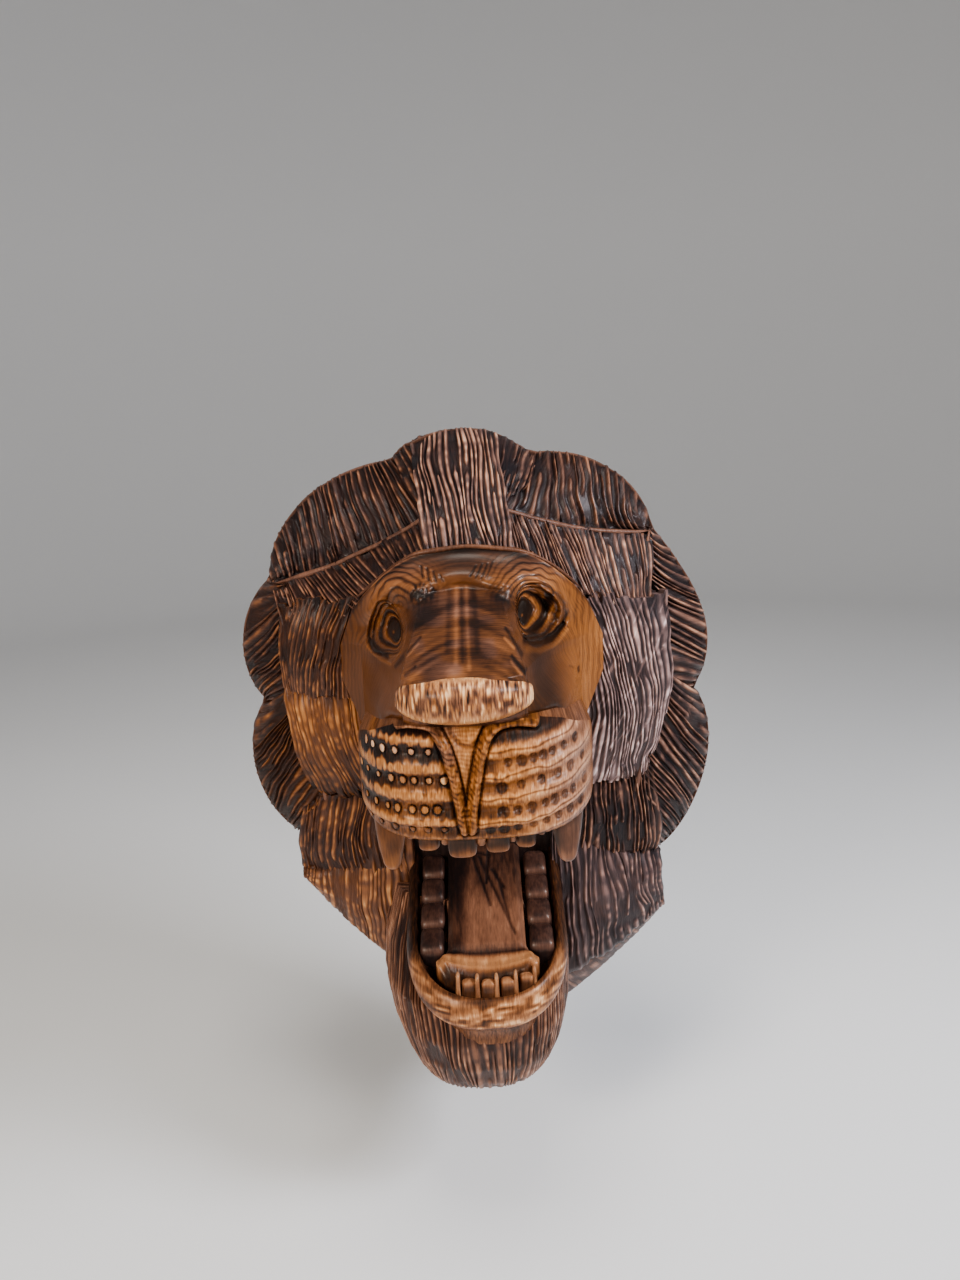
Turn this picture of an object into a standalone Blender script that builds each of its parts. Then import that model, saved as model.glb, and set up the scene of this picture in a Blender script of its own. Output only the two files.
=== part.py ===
"""Roaring lion head wall mask, carved from one block of wood.

The flat back lies in the plane y = 0 and hangs against a wall.  The lion looks
along -Y, +Z is up and +X is the viewer's right.  Every form is first given as
(x, z, h) in millimetres, where h is the distance forward of the wall.
"""
import bpy
import bmesh
import numpy as np

MM = 0.001

# overall sizes, mm
BACK_OVERRUN = 6.0          # how far the forms run past the back before it is cut flat
RIM_UNDERCUT = 0.975        # outline at the back compared with the outline at the rim
CORE_INSET = 0.955          # outline of the block under the locks
CORE_RIM = 20.0             # forward height of that block at its edge
CORE_TOP = 56.0             # forward height of that block behind the mouth

# face
HAIRLINE_Z = 134.0          # top of the smooth face on the middle line
FACE_FOOT_Z = 8.0           # where the smooth face ends inside the muzzle
TEMPLE_HALF = 69.0          # half width where the hairline ends
CHEEK_HALF = 79.0           # half width at the cheeks
CHEEK_LOW_HALF = 63.0       # half width at the foot of the cheeks
FACE_EDGE_H = 84.0          # forward height of the border of the face
NOSE_X = -4.0               # the nose sits a little left of the middle
BROW_H = 130.0              # forward height between the brows
BRIDGE_TOP_Z = 112.0        # where the bridge of the nose starts
BRIDGE_END_Z = 80.0         # where it meets the nose pad
BRIDGE_END_H = 200.0        # its forward height there
BRIDGE_HALF_TOP = 19.0
STOP_BROW = 5.0             # swelling of the brow just above the bridge
STOP_CREASE = 4.0           # crease between that swelling and the bridge
BRIDGE_HALF_END = 31.0
EYES = ((-43.0, 92.0, -22.0), (35.0, 95.0, 22.0))   # x, z and tilt in degrees
EYE_HALF_W = 8.5
EYE_HALF_T = 13.0
EYE_BULGE = 5.0
PUPILS = ((-41.0, 92.5, -1.0), (30.5, 98.5, 1.0))   # x, z and the side that faces the cheek
PUPIL_R = 5.0
PUPIL_RISE = 1.6
LID_STEP = (1.5, 1.9, 2.9, 3.8)   # groove to lid, from the nose side round to the cheek side
LID_FACING = (-1.0, -0.2, 0.5, 1.0)
LID_RISE = 1.1              # height of a lid above the groove beside it
SOCKET = 1.75               # size of the socket compared with the eye
SOCKET_DEPTH = 9.0
EYEBROW = 7.0               # swelling of the brow around each socket

# nose pad and muzzle
PAD_HALF_W = 34.0
PAD_HALF_T = 11.5
PAD_Z = 69.5
PAD_H = 196.0
PAD_REACH = 12.5
MUZZLE_HALF_W = 63.0
MUZZLE_TOP_Z = 58.0
MUZZLE_FOOT_Z = -4.0
MUZZLE_SIDE_H = 128.0       # forward height at the very sides
MUZZLE_FRONT_H = 203.0      # forward height on the middle line
MUZZLE_ROUND = 9.0          # rounding of its upper and lower edges
BANDS = 4                   # rows of whiskers on each side
BAND_DEPTH = 2.4
PHILTRUM_X = -5.0
PHILTRUM_HALF = 18.0
PHILTRUM_DEPTH = 4.0

# teeth, jaw and beard
UPPER_INCISORS = ((-26.0, 13.0), (-8.5, 17.0), (9.5, 14.5), (24.5, 12.5))   # x and width
INCISOR_DROP = 15.0
LOWER_INCISORS = 4
LOWER_INCISOR_W = 10.0
CANINE_X = 46.0
CANINE_DROP = 27.0
JAW_HALF_W = 47.0
JAW_FRONT_H = 161.0
JAW_BACK_H = 46.0
JAW_X = 1.0
LIP_BACK_Z = -68.0          # height of the lip's edge at the jaw's hinge
LIP_SLOPE = 0.42            # how fast that edge falls towards the front
TONGUE_HALF = 23.0
TONGUE_FRONT_H = 146.0
TONGUE_LIFT = 9.0
MOLARS = 4


def smooth(a, b, t):
    """0 below a, 1 above b and an even S between them"""
    q = np.clip((t - a) / (b - a), 0.0, 1.0)
    return q * q * (3.0 - 2.0 * q)


def make_material(name, colour, roughness):
    material = bpy.data.materials.new(name)
    material.use_nodes = True
    shader = material.node_tree.nodes["Principled BSDF"]
    shader.inputs["Base Color"].default_value = (*colour, 1.0)
    shader.inputs["Roughness"].default_value = roughness
    return material


def add_body(name, points, faces, collection, material):
    """a closed body from points (x, z, h) in mm, its faces turned outwards"""
    p = np.asarray(points, dtype=float)
    verts = np.column_stack([p[:, 0], -p[:, 2], p[:, 1]]) * MM
    mesh = bpy.data.meshes.new(name)
    mesh.from_pydata(verts.tolist(), [], faces)
    bm = bmesh.new()
    bm.from_mesh(mesh)
    bmesh.ops.remove_doubles(bm, verts=bm.verts, dist=1e-6)
    bmesh.ops.recalc_face_normals(bm, faces=bm.faces)
    bm.to_mesh(mesh)
    bm.free()
    mesh.materials.append(material)
    body = bpy.data.objects.new(name, mesh)
    collection.objects.link(body)
    return body


def relief_body(name, top, floor_h, taper, collection, material):
    """closes a grid of points (rows, columns, 3) with walls down to floor_h"""
    rows, cols = top.shape[:2]
    index = np.arange(rows * cols).reshape(rows, cols)
    faces = []
    for i in range(rows - 1):
        for j in range(cols - 1):
            corners = (index[i, j], index[i, j + 1], index[i + 1, j + 1], index[i + 1, j])
            faces.append([int(k) for k in corners])
    loop = np.concatenate([index[0, :], index[1:, -1], index[-1, -2::-1], index[-2:0:-1, 0]])
    points = top.reshape(-1, 3)
    foot = points[loop].copy()
    foot[:, :2] *= taper
    foot[:, 2] = floor_h
    count = len(loop)
    base = rows * cols
    for k in range(count):
        n = (k + 1) % count
        faces.append([int(loop[k]), int(loop[n]), base + n, base + k])
    faces.append([base + k for k in range(count)])
    return add_body(name, np.vstack([points, foot]), faces, collection, material)


def ring_body(name, rings, collection, material):
    """a body through closed rings (rings, points, 3), capped at both ends"""
    count, around = rings.shape[:2]
    faces = []
    for i in range(count - 1):
        for j in range(around):
            n = (j + 1) % around
            faces.append([i * around + j, i * around + n, (i + 1) * around + n, (i + 1) * around + j])
    faces.append(list(range(around)))
    faces.append([(count - 1) * around + j for j in range(around)])
    return add_body(name, rings.reshape(-1, 3), faces, collection, material)


# The locks of the mane: each lock runs from a root edge to a tip edge.  The four corners are (x, z, h).
# bow: how far the root and the tip edge swell away from a straight line
# peak: where along the tip edge the swelling is greatest
# lift: how much higher the middle of the tip edge is; bend: sideways curve
# crown: rounding across the lock; belly: rounding along it
LOCKS = {
    "tuft": dict(root=((-24, 132, 104), (27, 131, 104)), tip=((-34, 190, 38), (22, 194, 40)),
                 bow=(-2, 7), peak=0.5, lift=4, bend=0, crown=5, belly=11),
    "tuft_left": dict(root=((-26, 150, 78), (-8, 150, 84)), tip=((-46, 181, 28), (-20, 196, 34)),
                      bow=(0, 4), peak=0.5, lift=0, bend=0, crown=3, belly=8),
    "tuft_right": dict(root=((8, 152, 80), (36, 160, 62)), tip=((10, 197, 36), (47, 177, 28)),
                       bow=(0, 4), peak=0.4, lift=0, bend=0, crown=3, belly=8),
    "crown_right": dict(root=((12, 156, 80), (115, 131, 40)), tip=((40, 181, 28), (118, 131, 26)),
                        bow=(-6, 19), peak=0.52, lift=5, bend=0, crown=0, belly=5),
    "under_crown_right": dict(root=((12, 157, 81), (116, 130, 41)), tip=((14, 133, 103), (114, 88, 58)),
                              bow=(6, 11), peak=0.5, lift=9, bend=0, crown=2, belly=3),
    "outer_right": dict(root=((114, 134, 40), (120, 24, 55)), tip=((118, 133, 26), (141, 21, 26)),
                        bow=(-6, 21), peak=0.6, lift=4, bend=0, crown=3, belly=5),
    "cheek_right": dict(root=((60, 99, 84), (122, 94, 56)), tip=((50, -24, 62), (108, -26, 52)),
                        bow=(0, 0), peak=0.5, lift=3, bend=9, crown=9, belly=5),
    "lower_right": dict(root=((121, 46, 56), (100, -62, 50)), tip=((141, 27, 26), (121, -88, 26)),
                        bow=(-5, 21), peak=0.42, lift=4, bend=0, crown=4, belly=6),
    "jowl_right": dict(root=((46, -10, 60), (114, -20, 52)), tip=((46, -72, 60), (119, -86, 40)),
                       bow=(0, 0), peak=0.5, lift=2, bend=3, crown=5, belly=3),
    "side_beard_right": dict(root=((46, -52, 62), (121, -85, 34)), tip=((40, -168, 56), (125, -128, 30)),
                             bow=(0, 0), peak=0.5, lift=10, bend=0, crown=7, belly=6),
    "edge_right": dict(root=((30, -165, 56), (122, -120, 36)), tip=((52, -199, 26), (125, -129, 26)),
                       bow=(0, 3), peak=0.5, lift=0, bend=0, crown=2, belly=3),
    "crown_left": dict(root=((-12, 156, 80), (-125, 108, 38)), tip=((-42, 182, 28), (-128, 109, 26)),
                       bow=(-6, 22), peak=0.55, lift=5, bend=0, crown=0, belly=5),
    "under_crown_left": dict(root=((-12, 157, 81), (-126, 107, 39)), tip=((-12, 135, 103), (-118, 84, 56)),
                             bow=(6, 10), peak=0.5, lift=10, bend=0, crown=2, belly=3),
    "outer_left": dict(root=((-116, 108, 46), (-112, 32, 56)), tip=((-127, 111, 26), (-136, 27, 26)),
                       bow=(-4, 18), peak=0.5, lift=4, bend=0, crown=3, belly=5),
    "temple_left": dict(root=((-62, 104, 86), (-120, 98, 52)), tip=((-70, 40, 80), (-119, 38, 55)),
                        bow=(0, 0), peak=0.5, lift=3, bend=-2, crown=6, belly=3),
    "cheek_left": dict(root=((-64, 50, 80), (-120, 46, 55)), tip=((-50, -26, 62), (-108, -28, 52)),
                       bow=(0, 0), peak=0.5, lift=3, bend=-3, crown=8, belly=5),
    "lower_left": dict(root=((-116, 44, 56), (-98, -54, 50)), tip=((-136, 31, 26), (-121, -66, 26)),
                       bow=(-4, 20), peak=0.47, lift=4, bend=0, crown=4, belly=6),
    "jowl_left": dict(root=((-46, -12, 60), (-114, -34, 50)), tip=((-46, -92, 60), (-123, -92, 30)),
                      bow=(0, 0), peak=0.5, lift=3, bend=-3, crown=5, belly=4),
    "side_beard_left": dict(root=((-44, -56, 62), (-122, -88, 34)), tip=((-40, -172, 40), (-121, -97, 26)),
                            bow=(0, 3), peak=0.5, lift=6, bend=0, crown=6, belly=7),
}

# the rim, clockwise from the upper left of the tuft: lock, and the stretch of its tip edge that shows
RIM = (("tuft_left", 0.05, 0.45), ("tuft", 0.05, 0.78), ("tuft_right", 0.05, 0.75),
       ("crown_right", 0.05, 0.96), ("outer_right", 0.03, 0.93), ("lower_right", 0.02, 1.0),
       ("edge_right", 0.98, 0.0), ("side_beard_left", 0.0, 0.98), ("lower_left", 1.0, 0.04),
       ("outer_left", 0.96, 0.04), ("crown_left", 0.98, 0.06))


def bowed_edge(ends, v, bow, peak, outward, lift=0.0):
    """a straight edge swollen sideways by bow, most at the fraction peak"""
    a, b = (np.array(e, dtype=float) for e in ends)
    chord = (b - a)[:2]
    side = np.array([-chord[1], chord[0]]) / np.linalg.norm(chord)
    if np.dot(side, outward[:2]) < 0:
        side = -side
    w = v ** (np.log(0.5) / np.log(peak))
    swell = (4.0 * w * (1.0 - w)) ** 0.75
    line = a + (b - a) * v[:, None]
    line[:, :2] += side * (bow * swell)[:, None]
    line[:, 2] += lift * swell
    return line


def lock_surface(lock, u, v):
    """points of a lock for the arrays u (root to tip) and v (side to side)"""
    root_mid = np.mean(lock["root"], axis=0)
    tip_mid = np.mean(lock["tip"], axis=0)
    along = tip_mid - root_mid
    root = bowed_edge(lock["root"], v, lock["bow"][0], 0.5, along)
    tip = bowed_edge(lock["tip"], v, lock["bow"][1], lock["peak"], along, lock["lift"])
    uu = u[:, None, None]
    p = root[None] * (1.0 - uu) + tip[None] * uu
    across = np.array([-along[1], along[0]]) / np.linalg.norm(along[:2])
    if across[0] < 0:
        across = -across
    p[:, :, :2] += across * (lock["bend"] * np.sin(np.pi * u))[:, None, None]
    rounding = 1.0 - np.abs(2.0 * v - 1.0) ** 2.6
    p[:, :, 2] += lock["crown"] * rounding[None, :] * (0.55 + 0.45 * np.sin(np.pi * u))[:, None]
    p[:, :, 2] += lock["belly"] * (4.0 * u * (1.0 - u))[:, None]
    return p


def rim_outline(per_lock):
    """the lobed outline of the mask as (x, z), clockwise from the upper left"""
    parts = []
    for name, start, end in RIM:
        v = np.linspace(start, end, per_lock)
        parts.append(lock_surface(LOCKS[name], np.array([1.0]), v)[0][:, :2])
    return np.vstack(parts)


def core_body(collection, material):
    """the block under the locks: a low dome on the same lobed outline"""
    outline = rim_outline(5)
    steps = ((CORE_INSET, -BACK_OVERRUN - 1.0), (CORE_INSET, CORE_RIM), (0.86, 0.5 * (CORE_RIM + CORE_TOP)),
             (0.70, CORE_TOP - 5.0), (0.45, CORE_TOP))
    rings = np.array([np.column_stack([outline * f, np.full(len(outline), h)]) for f, h in steps])
    return ring_body("core", rings, collection, material)


def bridge_line(z):
    """forward height of the bridge of the nose on the middle line"""
    q = np.clip((BRIDGE_TOP_Z - z) / (BRIDGE_TOP_Z - BRIDGE_END_Z), 0.0, 1.0)
    return BROW_H + (BRIDGE_END_H - BROW_H) * q ** 1.12


def eye_distance(x, z):
    """distance from the nearer eye, 1 on the edge of its tilted oval"""
    best = np.full(np.shape(x), 9.0)
    for ex, ez, tilt in EYES:
        c, s = np.cos(np.radians(tilt)), np.sin(np.radians(tilt))
        across = c * (x - ex) + s * (z - ez)
        along = -s * (x - ex) + c * (z - ez)
        best = np.minimum(best, np.hypot(across / EYE_HALF_W, along / EYE_HALF_T))
    return best


def lids(x, z):
    """ball of the eye and two lids around it, close together by the nose and wide apart on the cheek"""
    rise = np.zeros(np.shape(x))
    for px, pz, outward in PUPILS:
        a = 1.25 * outward * (x - px)
        b = 0.80 * (z - pz + 0.2 * a)
        far = np.hypot(a, b)
        number = (far - PUPIL_R) / np.interp(a / np.maximum(far, 1e-6), LID_FACING, LID_STEP)
        rise = rise + PUPIL_RISE * np.sqrt(np.clip(1.0 - (far / PUPIL_R) ** 2, 0.0, 1.0))
        rise = rise - LID_RISE * np.cos(np.pi * number) * (number > 0.5) * smooth(4.5, 3.5, number)
    return rise


def muzzle_plan(x):
    """forward height of the muzzle seen from above: flat in front, round at the sides"""
    side = np.clip(1.0 - np.abs(x / (MUZZLE_HALF_W + 1.0)) ** 3.4, 0.0, 1.0) ** 0.42
    return MUZZLE_SIDE_H + (MUZZLE_FRONT_H - MUZZLE_SIDE_H) * side


def face_height(x, z):
    """forward height of the smooth face: cheeks and brow, sockets, eyes and the bridge"""
    rise = 26.0 + 16.0 * smooth(HAIRLINE_Z, 106.0, z)
    h = FACE_EDGE_H + rise * (1.0 - np.minimum(np.abs(x) / CHEEK_HALF, 1.0) ** 2.2)
    near = eye_distance(x, z) / SOCKET
    upper = smooth(-4.0, 10.0, z - EYES[0][1])
    h = h + EYEBROW * upper * np.exp(-((near - 1.05) / 0.32) ** 2)
    h = h - SOCKET_DEPTH * np.exp(-(near / 0.8) ** 2)
    q = np.clip((BRIDGE_TOP_Z - z) / (BRIDGE_TOP_Z - BRIDGE_END_Z), 0.0, 1.0)
    half = BRIDGE_HALF_TOP + (BRIDGE_HALF_END - BRIDGE_HALF_TOP) * q ** 0.8
    ax = np.abs(x - NOSE_X)
    arch = z - (BRIDGE_TOP_Z + 1.0 - 0.012 * ax * ax)
    h = h + STOP_BROW * np.exp(-((arch - 8.0) / 6.0) ** 2) * np.exp(-(ax / 34.0) ** 4)
    out = np.clip((ax - half) / (CHEEK_HALF - 3.0 - half), 0.0, 1.0)
    fall = 2.4 + 3.8 * smooth(78.0, 98.0, z)
    share = np.where(ax < half, 1.0 - 0.12 * (ax / half) ** 4, 0.80 * (1.0 - out) ** fall)
    h = h + (bridge_line(z) - h) * share * smooth(BRIDGE_TOP_Z + 6.0, BRIDGE_TOP_Z - 4.0, z)
    h = h - STOP_CREASE * np.exp(-(arch / 3.0) ** 2) * np.exp(-(ax / 24.0) ** 4)
    h = h + EYE_BULGE * np.sqrt(np.clip(1.0 - eye_distance(x, z) ** 2, 0.0, 1.0)) + lids(x, z)
    shoulder = smooth(76.0, 52.0, z) * (1.0 - np.clip(np.abs(x) / CHEEK_LOW_HALF, 0.0, 1.0) ** 4)
    return h + np.maximum(muzzle_plan(x) - 14.0 - h, 0.0) * shoulder


def face_plan(s, t):
    """x and z of the face for s (hairline to foot) and t (-1 left to 1 right)"""
    halves = (TEMPLE_HALF, CHEEK_HALF - 1.0, CHEEK_HALF - 1.0, CHEEK_LOW_HALF)
    half = np.interp(s, (0.0, 0.3, 0.6, 1.0), halves)
    x = t * half
    top = HAIRLINE_Z - 37.0 * np.abs(t) ** 2.6
    foot = FACE_FOOT_Z + 18.0 * np.abs(t) ** 2
    return x, top + (foot - top) * s


def face_body(collection, material):
    """the smooth face on a grid that is finer around the eyes and the bridge"""
    t = np.concatenate([[-1.0, -0.9, -0.82], np.linspace(-0.76, -0.42, 16), np.linspace(-0.37, 0.28, 11),
                        np.linspace(0.32, 0.68, 17), [0.75, 0.83, 0.92, 1.0]])
    s = np.concatenate([np.linspace(0.0, 0.16, 6), np.linspace(0.18, 0.46, 17), [0.50, 0.55, 0.62, 0.72, 0.85, 1.0]])
    ss, tt = np.meshgrid(s, t, indexing="ij")
    x, z = face_plan(ss, tt)
    top = np.stack([x, z, face_height(x, z)], axis=-1)
    return relief_body("face", top, -BACK_OVERRUN - 1.5, 1.0, collection, material)


def muzzle_body(collection, material):
    """two whisker pads with banded fronts and a sunk wedge between them"""
    a_side = np.array([0.30, 0.34, 0.44, 0.56, 0.68, 0.80, 0.90, 0.97, 1.0])
    a = np.concatenate([-a_side[::-1], [-0.24, 0.0, 0.24], a_side])
    rows = BANDS * 4 + 1
    b = np.linspace(1.0, -1.0, rows)
    bb, aa = np.meshgrid(b, a, indexing="ij")
    mid_z = 0.5 * (MUZZLE_TOP_Z + MUZZLE_FOOT_Z)
    half_z = 0.5 * (MUZZLE_TOP_Z - MUZZLE_FOOT_Z)
    z = mid_z + half_z * bb
    wedge = PHILTRUM_HALF * (0.06 + 0.94 * (0.5 + 0.5 * bb) ** 1.8)
    q = np.clip((np.abs(aa) - 0.30) / 0.70, 0.0, 1.0)
    x = PHILTRUM_X + np.sign(aa) * np.minimum(np.abs(aa) / 0.30, 1.0) * wedge
    x = x + (np.sign(aa) * MUZZLE_HALF_W - x) * q
    corner = np.clip(np.abs(x) / MUZZLE_HALF_W, 0.0, 1.0) ** 4
    z = z - corner * np.where(bb > 0, 17.0, -6.0) * np.abs(bb) ** 1.5
    h = muzzle_plan(x) - MUZZLE_ROUND * np.abs(bb) ** 7
    h = h - BAND_DEPTH * 0.5 * (1.0 + np.cos(np.pi * BANDS * (bb + 1.0))) * smooth(0.32, 0.40, np.abs(aa))
    h = h - PHILTRUM_DEPTH * (np.abs(aa) < 0.27) * smooth(-1.0, -0.8, bb)
    return relief_body("muzzle", np.stack([x, z, h], axis=-1), 30.0, 1.0, collection, material)


def superellipse(count, half_x, half_y, power):
    """points of a rounded rectangle"""
    angle = np.linspace(0.0, 2.0 * np.pi, count, endpoint=False)
    c, s = np.cos(angle), np.sin(angle)
    return np.column_stack([half_x * np.sign(c) * np.abs(c) ** (2.0 / power),
                            half_y * np.sign(s) * np.abs(s) ** (2.0 / power)])


def nose_pad_body(collection, material):
    """a rounded bar across the end of the bridge, its ends a little further back"""
    x = np.array([-1.0, -0.93, -0.78, -0.5, -0.2, 0.0, 0.2, 0.5, 0.78, 0.93, 1.0]) * PAD_HALF_W
    rings = []
    for xi in x:
        f = abs(xi) / PAD_HALF_W
        size = 0.42 + 0.58 * (1.0 - f ** 3.2) ** 0.6
        loop = superellipse(12, PAD_REACH * size, PAD_HALF_T * size, 2.6)
        h = PAD_H - 7.0 * f ** 2.2 + loop[:, 0]
        rings.append(np.column_stack([np.full(12, NOSE_X + xi), PAD_Z + loop[:, 1], h]))
    return ring_body("nose_pad", np.array(rings), collection, material)


def block_tooth(name, x, h, width, thick, top_z, tip_z, lean, taper, collection, material):
    """a tapered block from top_z to tip_z, leaning forward by lean"""
    rings = []
    for f in (0.0, 0.55, 1.0):
        size = 1.0 - (1.0 - taper) * f ** 1.6
        loop = superellipse(8, 0.5 * width * size, 0.5 * thick * size, 3.0)
        z = top_z + (tip_z - top_z) * f
        rings.append(np.column_stack([x + loop[:, 0], np.full(8, z), h + lean * f + loop[:, 1]]))
    return ring_body(name, np.array(rings), collection, material)


def upper_teeth(collection, material):
    for k, (x, width) in enumerate(UPPER_INCISORS):
        h = 187.0 - 0.010 * x * x
        block_tooth(f"upper_incisor_{k + 1}", x, h, width, 9.0, 6.0, -INCISOR_DROP, 1.0, 0.80,
                    collection, material)
    for side, name in ((-1, "left"), (1, "right")):
        block_tooth(f"upper_canine_{name}", side * CANINE_X, 168.0, 19.0, 17.0, 8.0, -CANINE_DROP, 6.0, 0.40,
                    collection, material)


def jaw_loop(inset, count=28):
    """plan of the jaw as (x, h): straight sides and a rounded front"""
    half = JAW_HALF_W - inset
    front = JAW_FRONT_H - inset
    angle = np.linspace(0.0, np.pi, count)
    c, s = np.cos(angle), np.sin(angle)
    x = half * np.sign(c) * np.abs(c) ** 0.8
    h = 108.0 + (front - 108.0) * s ** 0.9
    back = np.array([[-half, JAW_BACK_H + inset], [half, JAW_BACK_H + inset]])
    return np.vstack([np.column_stack([x, h]), back])


def lip_z(h):
    """height of the lip's edge above a point of the plan"""
    return LIP_BACK_Z - LIP_SLOPE * (h - JAW_BACK_H)


def jaw_body(collection, material):
    """a trough of wood: inner floor, lip edge, rounded lip and the underside"""
    profile = ((10.0, -7.0), (6.0, -6.0), (3.5, 0.0), (0.5, -2.5), (-1.5, -9.0), (0.0, -17.0), (7.0, -24.0),
               (13.0, -40.0))
    rings = []
    for inset, dz in profile:
        loop = jaw_loop(inset)
        rings.append(np.column_stack([loop[:, 0] + JAW_X, lip_z(loop[:, 1]) + dz, loop[:, 1]]))
    return ring_body("jaw", np.array(rings), collection, material)


def tongue_body(collection, material):
    """a flat tongue that lies between the molars and ends in a thick rolled tip"""
    h = np.array([42.0, 70.0, 100.0, 128.0, 136.0, 141.0, TONGUE_FRONT_H, TONGUE_FRONT_H + 2.0])
    lift = np.array([9.0, 9.0, 9.0, 8.0, 11.0, 13.0, 10.0, 3.0]) / 9.0 * TONGUE_LIFT
    rings = []
    for hi, up in zip(h, lift):
        wide = TONGUE_HALF - 3.0 * float(smooth(126.0, 148.0, hi))
        arc = np.array([(-1.0, -0.25), (-0.7, 0.0), (0.0, 0.10), (0.7, 0.0), (1.0, -0.25)])
        floor = lip_z(hi) - 12.0
        edge = lip_z(hi) - 7.0 + up
        top = np.column_stack([JAW_X + arc[:, 0] * wide, edge + arc[:, 1] * 8.0, np.full(5, hi)])
        base = np.array([[JAW_X + wide, floor, hi], [JAW_X - wide, floor, hi]])
        rings.append(np.vstack([top, base]))
    return ring_body("tongue", np.array(rings), collection, material)


def lower_teeth(collection, material):
    for k in range(LOWER_INCISORS):
        x = JAW_X + 4.5 + (k - 0.5 * (LOWER_INCISORS - 1)) * (LOWER_INCISOR_W + 1.2)
        h = 152.5 - 0.011 * (x - JAW_X) ** 2
        base = float(lip_z(h)) - 12.0
        block_tooth(f"lower_incisor_{k + 1}", x, h, LOWER_INCISOR_W, 7.0, base, base + 22.0, -1.0, 0.84,
                    collection, material)
    for side, name in ((-1, "left"), (1, "right")):
        for k in range(MOLARS):
            h = 66.0 + k * 18.0
            base = float(lip_z(h)) - 12.0
            x = JAW_X + side * 32.5
            loop = np.array([(-6.0, -7.4), (6.0, -7.4), (6.0, 7.4), (-6.0, 7.4)])
            rings = []
            for f, size in ((0.0, 1.0), (0.75, 1.0), (1.0, 0.7)):
                z = base + 15.0 * f
                rings.append(np.column_stack([x + loop[:, 0] * size, z - LIP_SLOPE * loop[:, 1] * size,
                                              h + loop[:, 1] * size]))
            ring_body(f"molar_{name}_{k + 1}", np.array(rings), collection, material)


# sections of the beard: height, middle x, half width, forward height of the front
BEARD = ((-88.0, -7.0, 51.0, 92.0), (-112.0, -7.0, 58.0, 120.0), (-132.0, -6.0, 60.0, 145.0),
         (-152.0, -4.5, 58.0, 149.0), (-172.0, -3.5, 53.0, 144.0), (-186.0, -3.5, 48.0, 136.0),
         (-193.0, -3.5, 44.0, 130.0), (-197.0, -3.5, 37.0, 122.0))


def beard_body(collection, material):
    """the tapered beard: square in front, with rounded corners and a blunt foot"""
    rings = []
    angle = np.linspace(0.0, np.pi, 19)
    for z, mid, half, front in BEARD:
        x = mid + half * np.sign(np.cos(angle)) * np.abs(np.cos(angle)) ** 0.8
        h = 30.0 + (front - 30.0) * np.sin(angle) ** 0.55
        loop = np.column_stack([x, np.full(19, z), h])
        back = np.array([[mid - half, z, 12.0], [mid + half, z, 12.0]])
        rings.append(np.vstack([loop, back]))
    return ring_body("beard", np.array(rings), collection, material)


def wall_cutter(collection):
    """a block standing in for the wall, whose front face is the plane y = 0"""
    mesh = bpy.data.meshes.new("wall_cutter")
    bm = bmesh.new()
    bmesh.ops.create_cube(bm, size=0.6)
    bmesh.ops.translate(bm, verts=bm.verts, vec=(0.0, 0.3, 0.0))
    bm.to_mesh(mesh)
    bm.free()
    cutter = bpy.data.objects.new("wall_cutter", mesh)
    collection.objects.link(cutter)
    return cutter


def main():
    for old in list(bpy.data.objects):
        bpy.data.objects.remove(old, do_unlink=True)
    scene = bpy.context.scene
    mask = bpy.data.collections.new("lion_head_wall_mask")
    forms = bpy.data.collections.new("carved_forms")
    cutters = bpy.data.collections.new("cutters")
    for collection in (mask, forms, cutters):
        scene.collection.children.link(collection)
    wood = make_material("carved_wood", (0.30, 0.16, 0.07), 0.4)

    lion = core_body(mask, wood)
    lion.name = "lion_head"
    for k, (name, lock) in enumerate(LOCKS.items()):
        across = 12 if name.startswith(("crown", "under")) else 8
        u = np.linspace(0.0, 1.0, 5)
        v = np.linspace(0.0, 1.0, across + 1)
        floor = -BACK_OVERRUN - 2.0 - 0.13 * k
        relief_body(name, lock_surface(lock, u, v), floor, RIM_UNDERCUT, forms, wood)
    face_body(forms, wood)
    muzzle_body(forms, wood)
    nose_pad_body(forms, wood)
    upper_teeth(forms, wood)
    jaw_body(forms, wood)
    tongue_body(forms, wood)
    lower_teeth(forms, wood)
    beard_body(forms, wood)
    wall = wall_cutter(cutters)
    for hidden in list(forms.objects) + list(cutters.objects):
        hidden.hide_render = True
        hidden.display_type = "WIRE"

    join = lion.modifiers.new("join_forms", "BOOLEAN")
    join.operation = "UNION"
    join.solver = "EXACT"
    join.operand_type = "COLLECTION"
    join.collection = forms
    flat = lion.modifiers.new("flat_back", "BOOLEAN")
    flat.operation = "DIFFERENCE"
    flat.solver = "EXACT"
    flat.object = wall
    for polygon in lion.data.polygons:
        polygon.use_smooth = False


main()
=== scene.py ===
# %% [markdown]
# Carved lion head wall mask.
# The real mask is one thick block of wood with a flat back. The carver roughed out the lobes of the mane,
# cut every strand of hair with a V gouge, charred the grooves with a flame, rubbed the crests back to
# bare wood and varnished the whole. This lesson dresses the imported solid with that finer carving.
# The solid comes in first, because every later surface has to lie on it.

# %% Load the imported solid
import bpy
import numpy as np
from math import radians
from mathutils import Matrix, Vector


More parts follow.
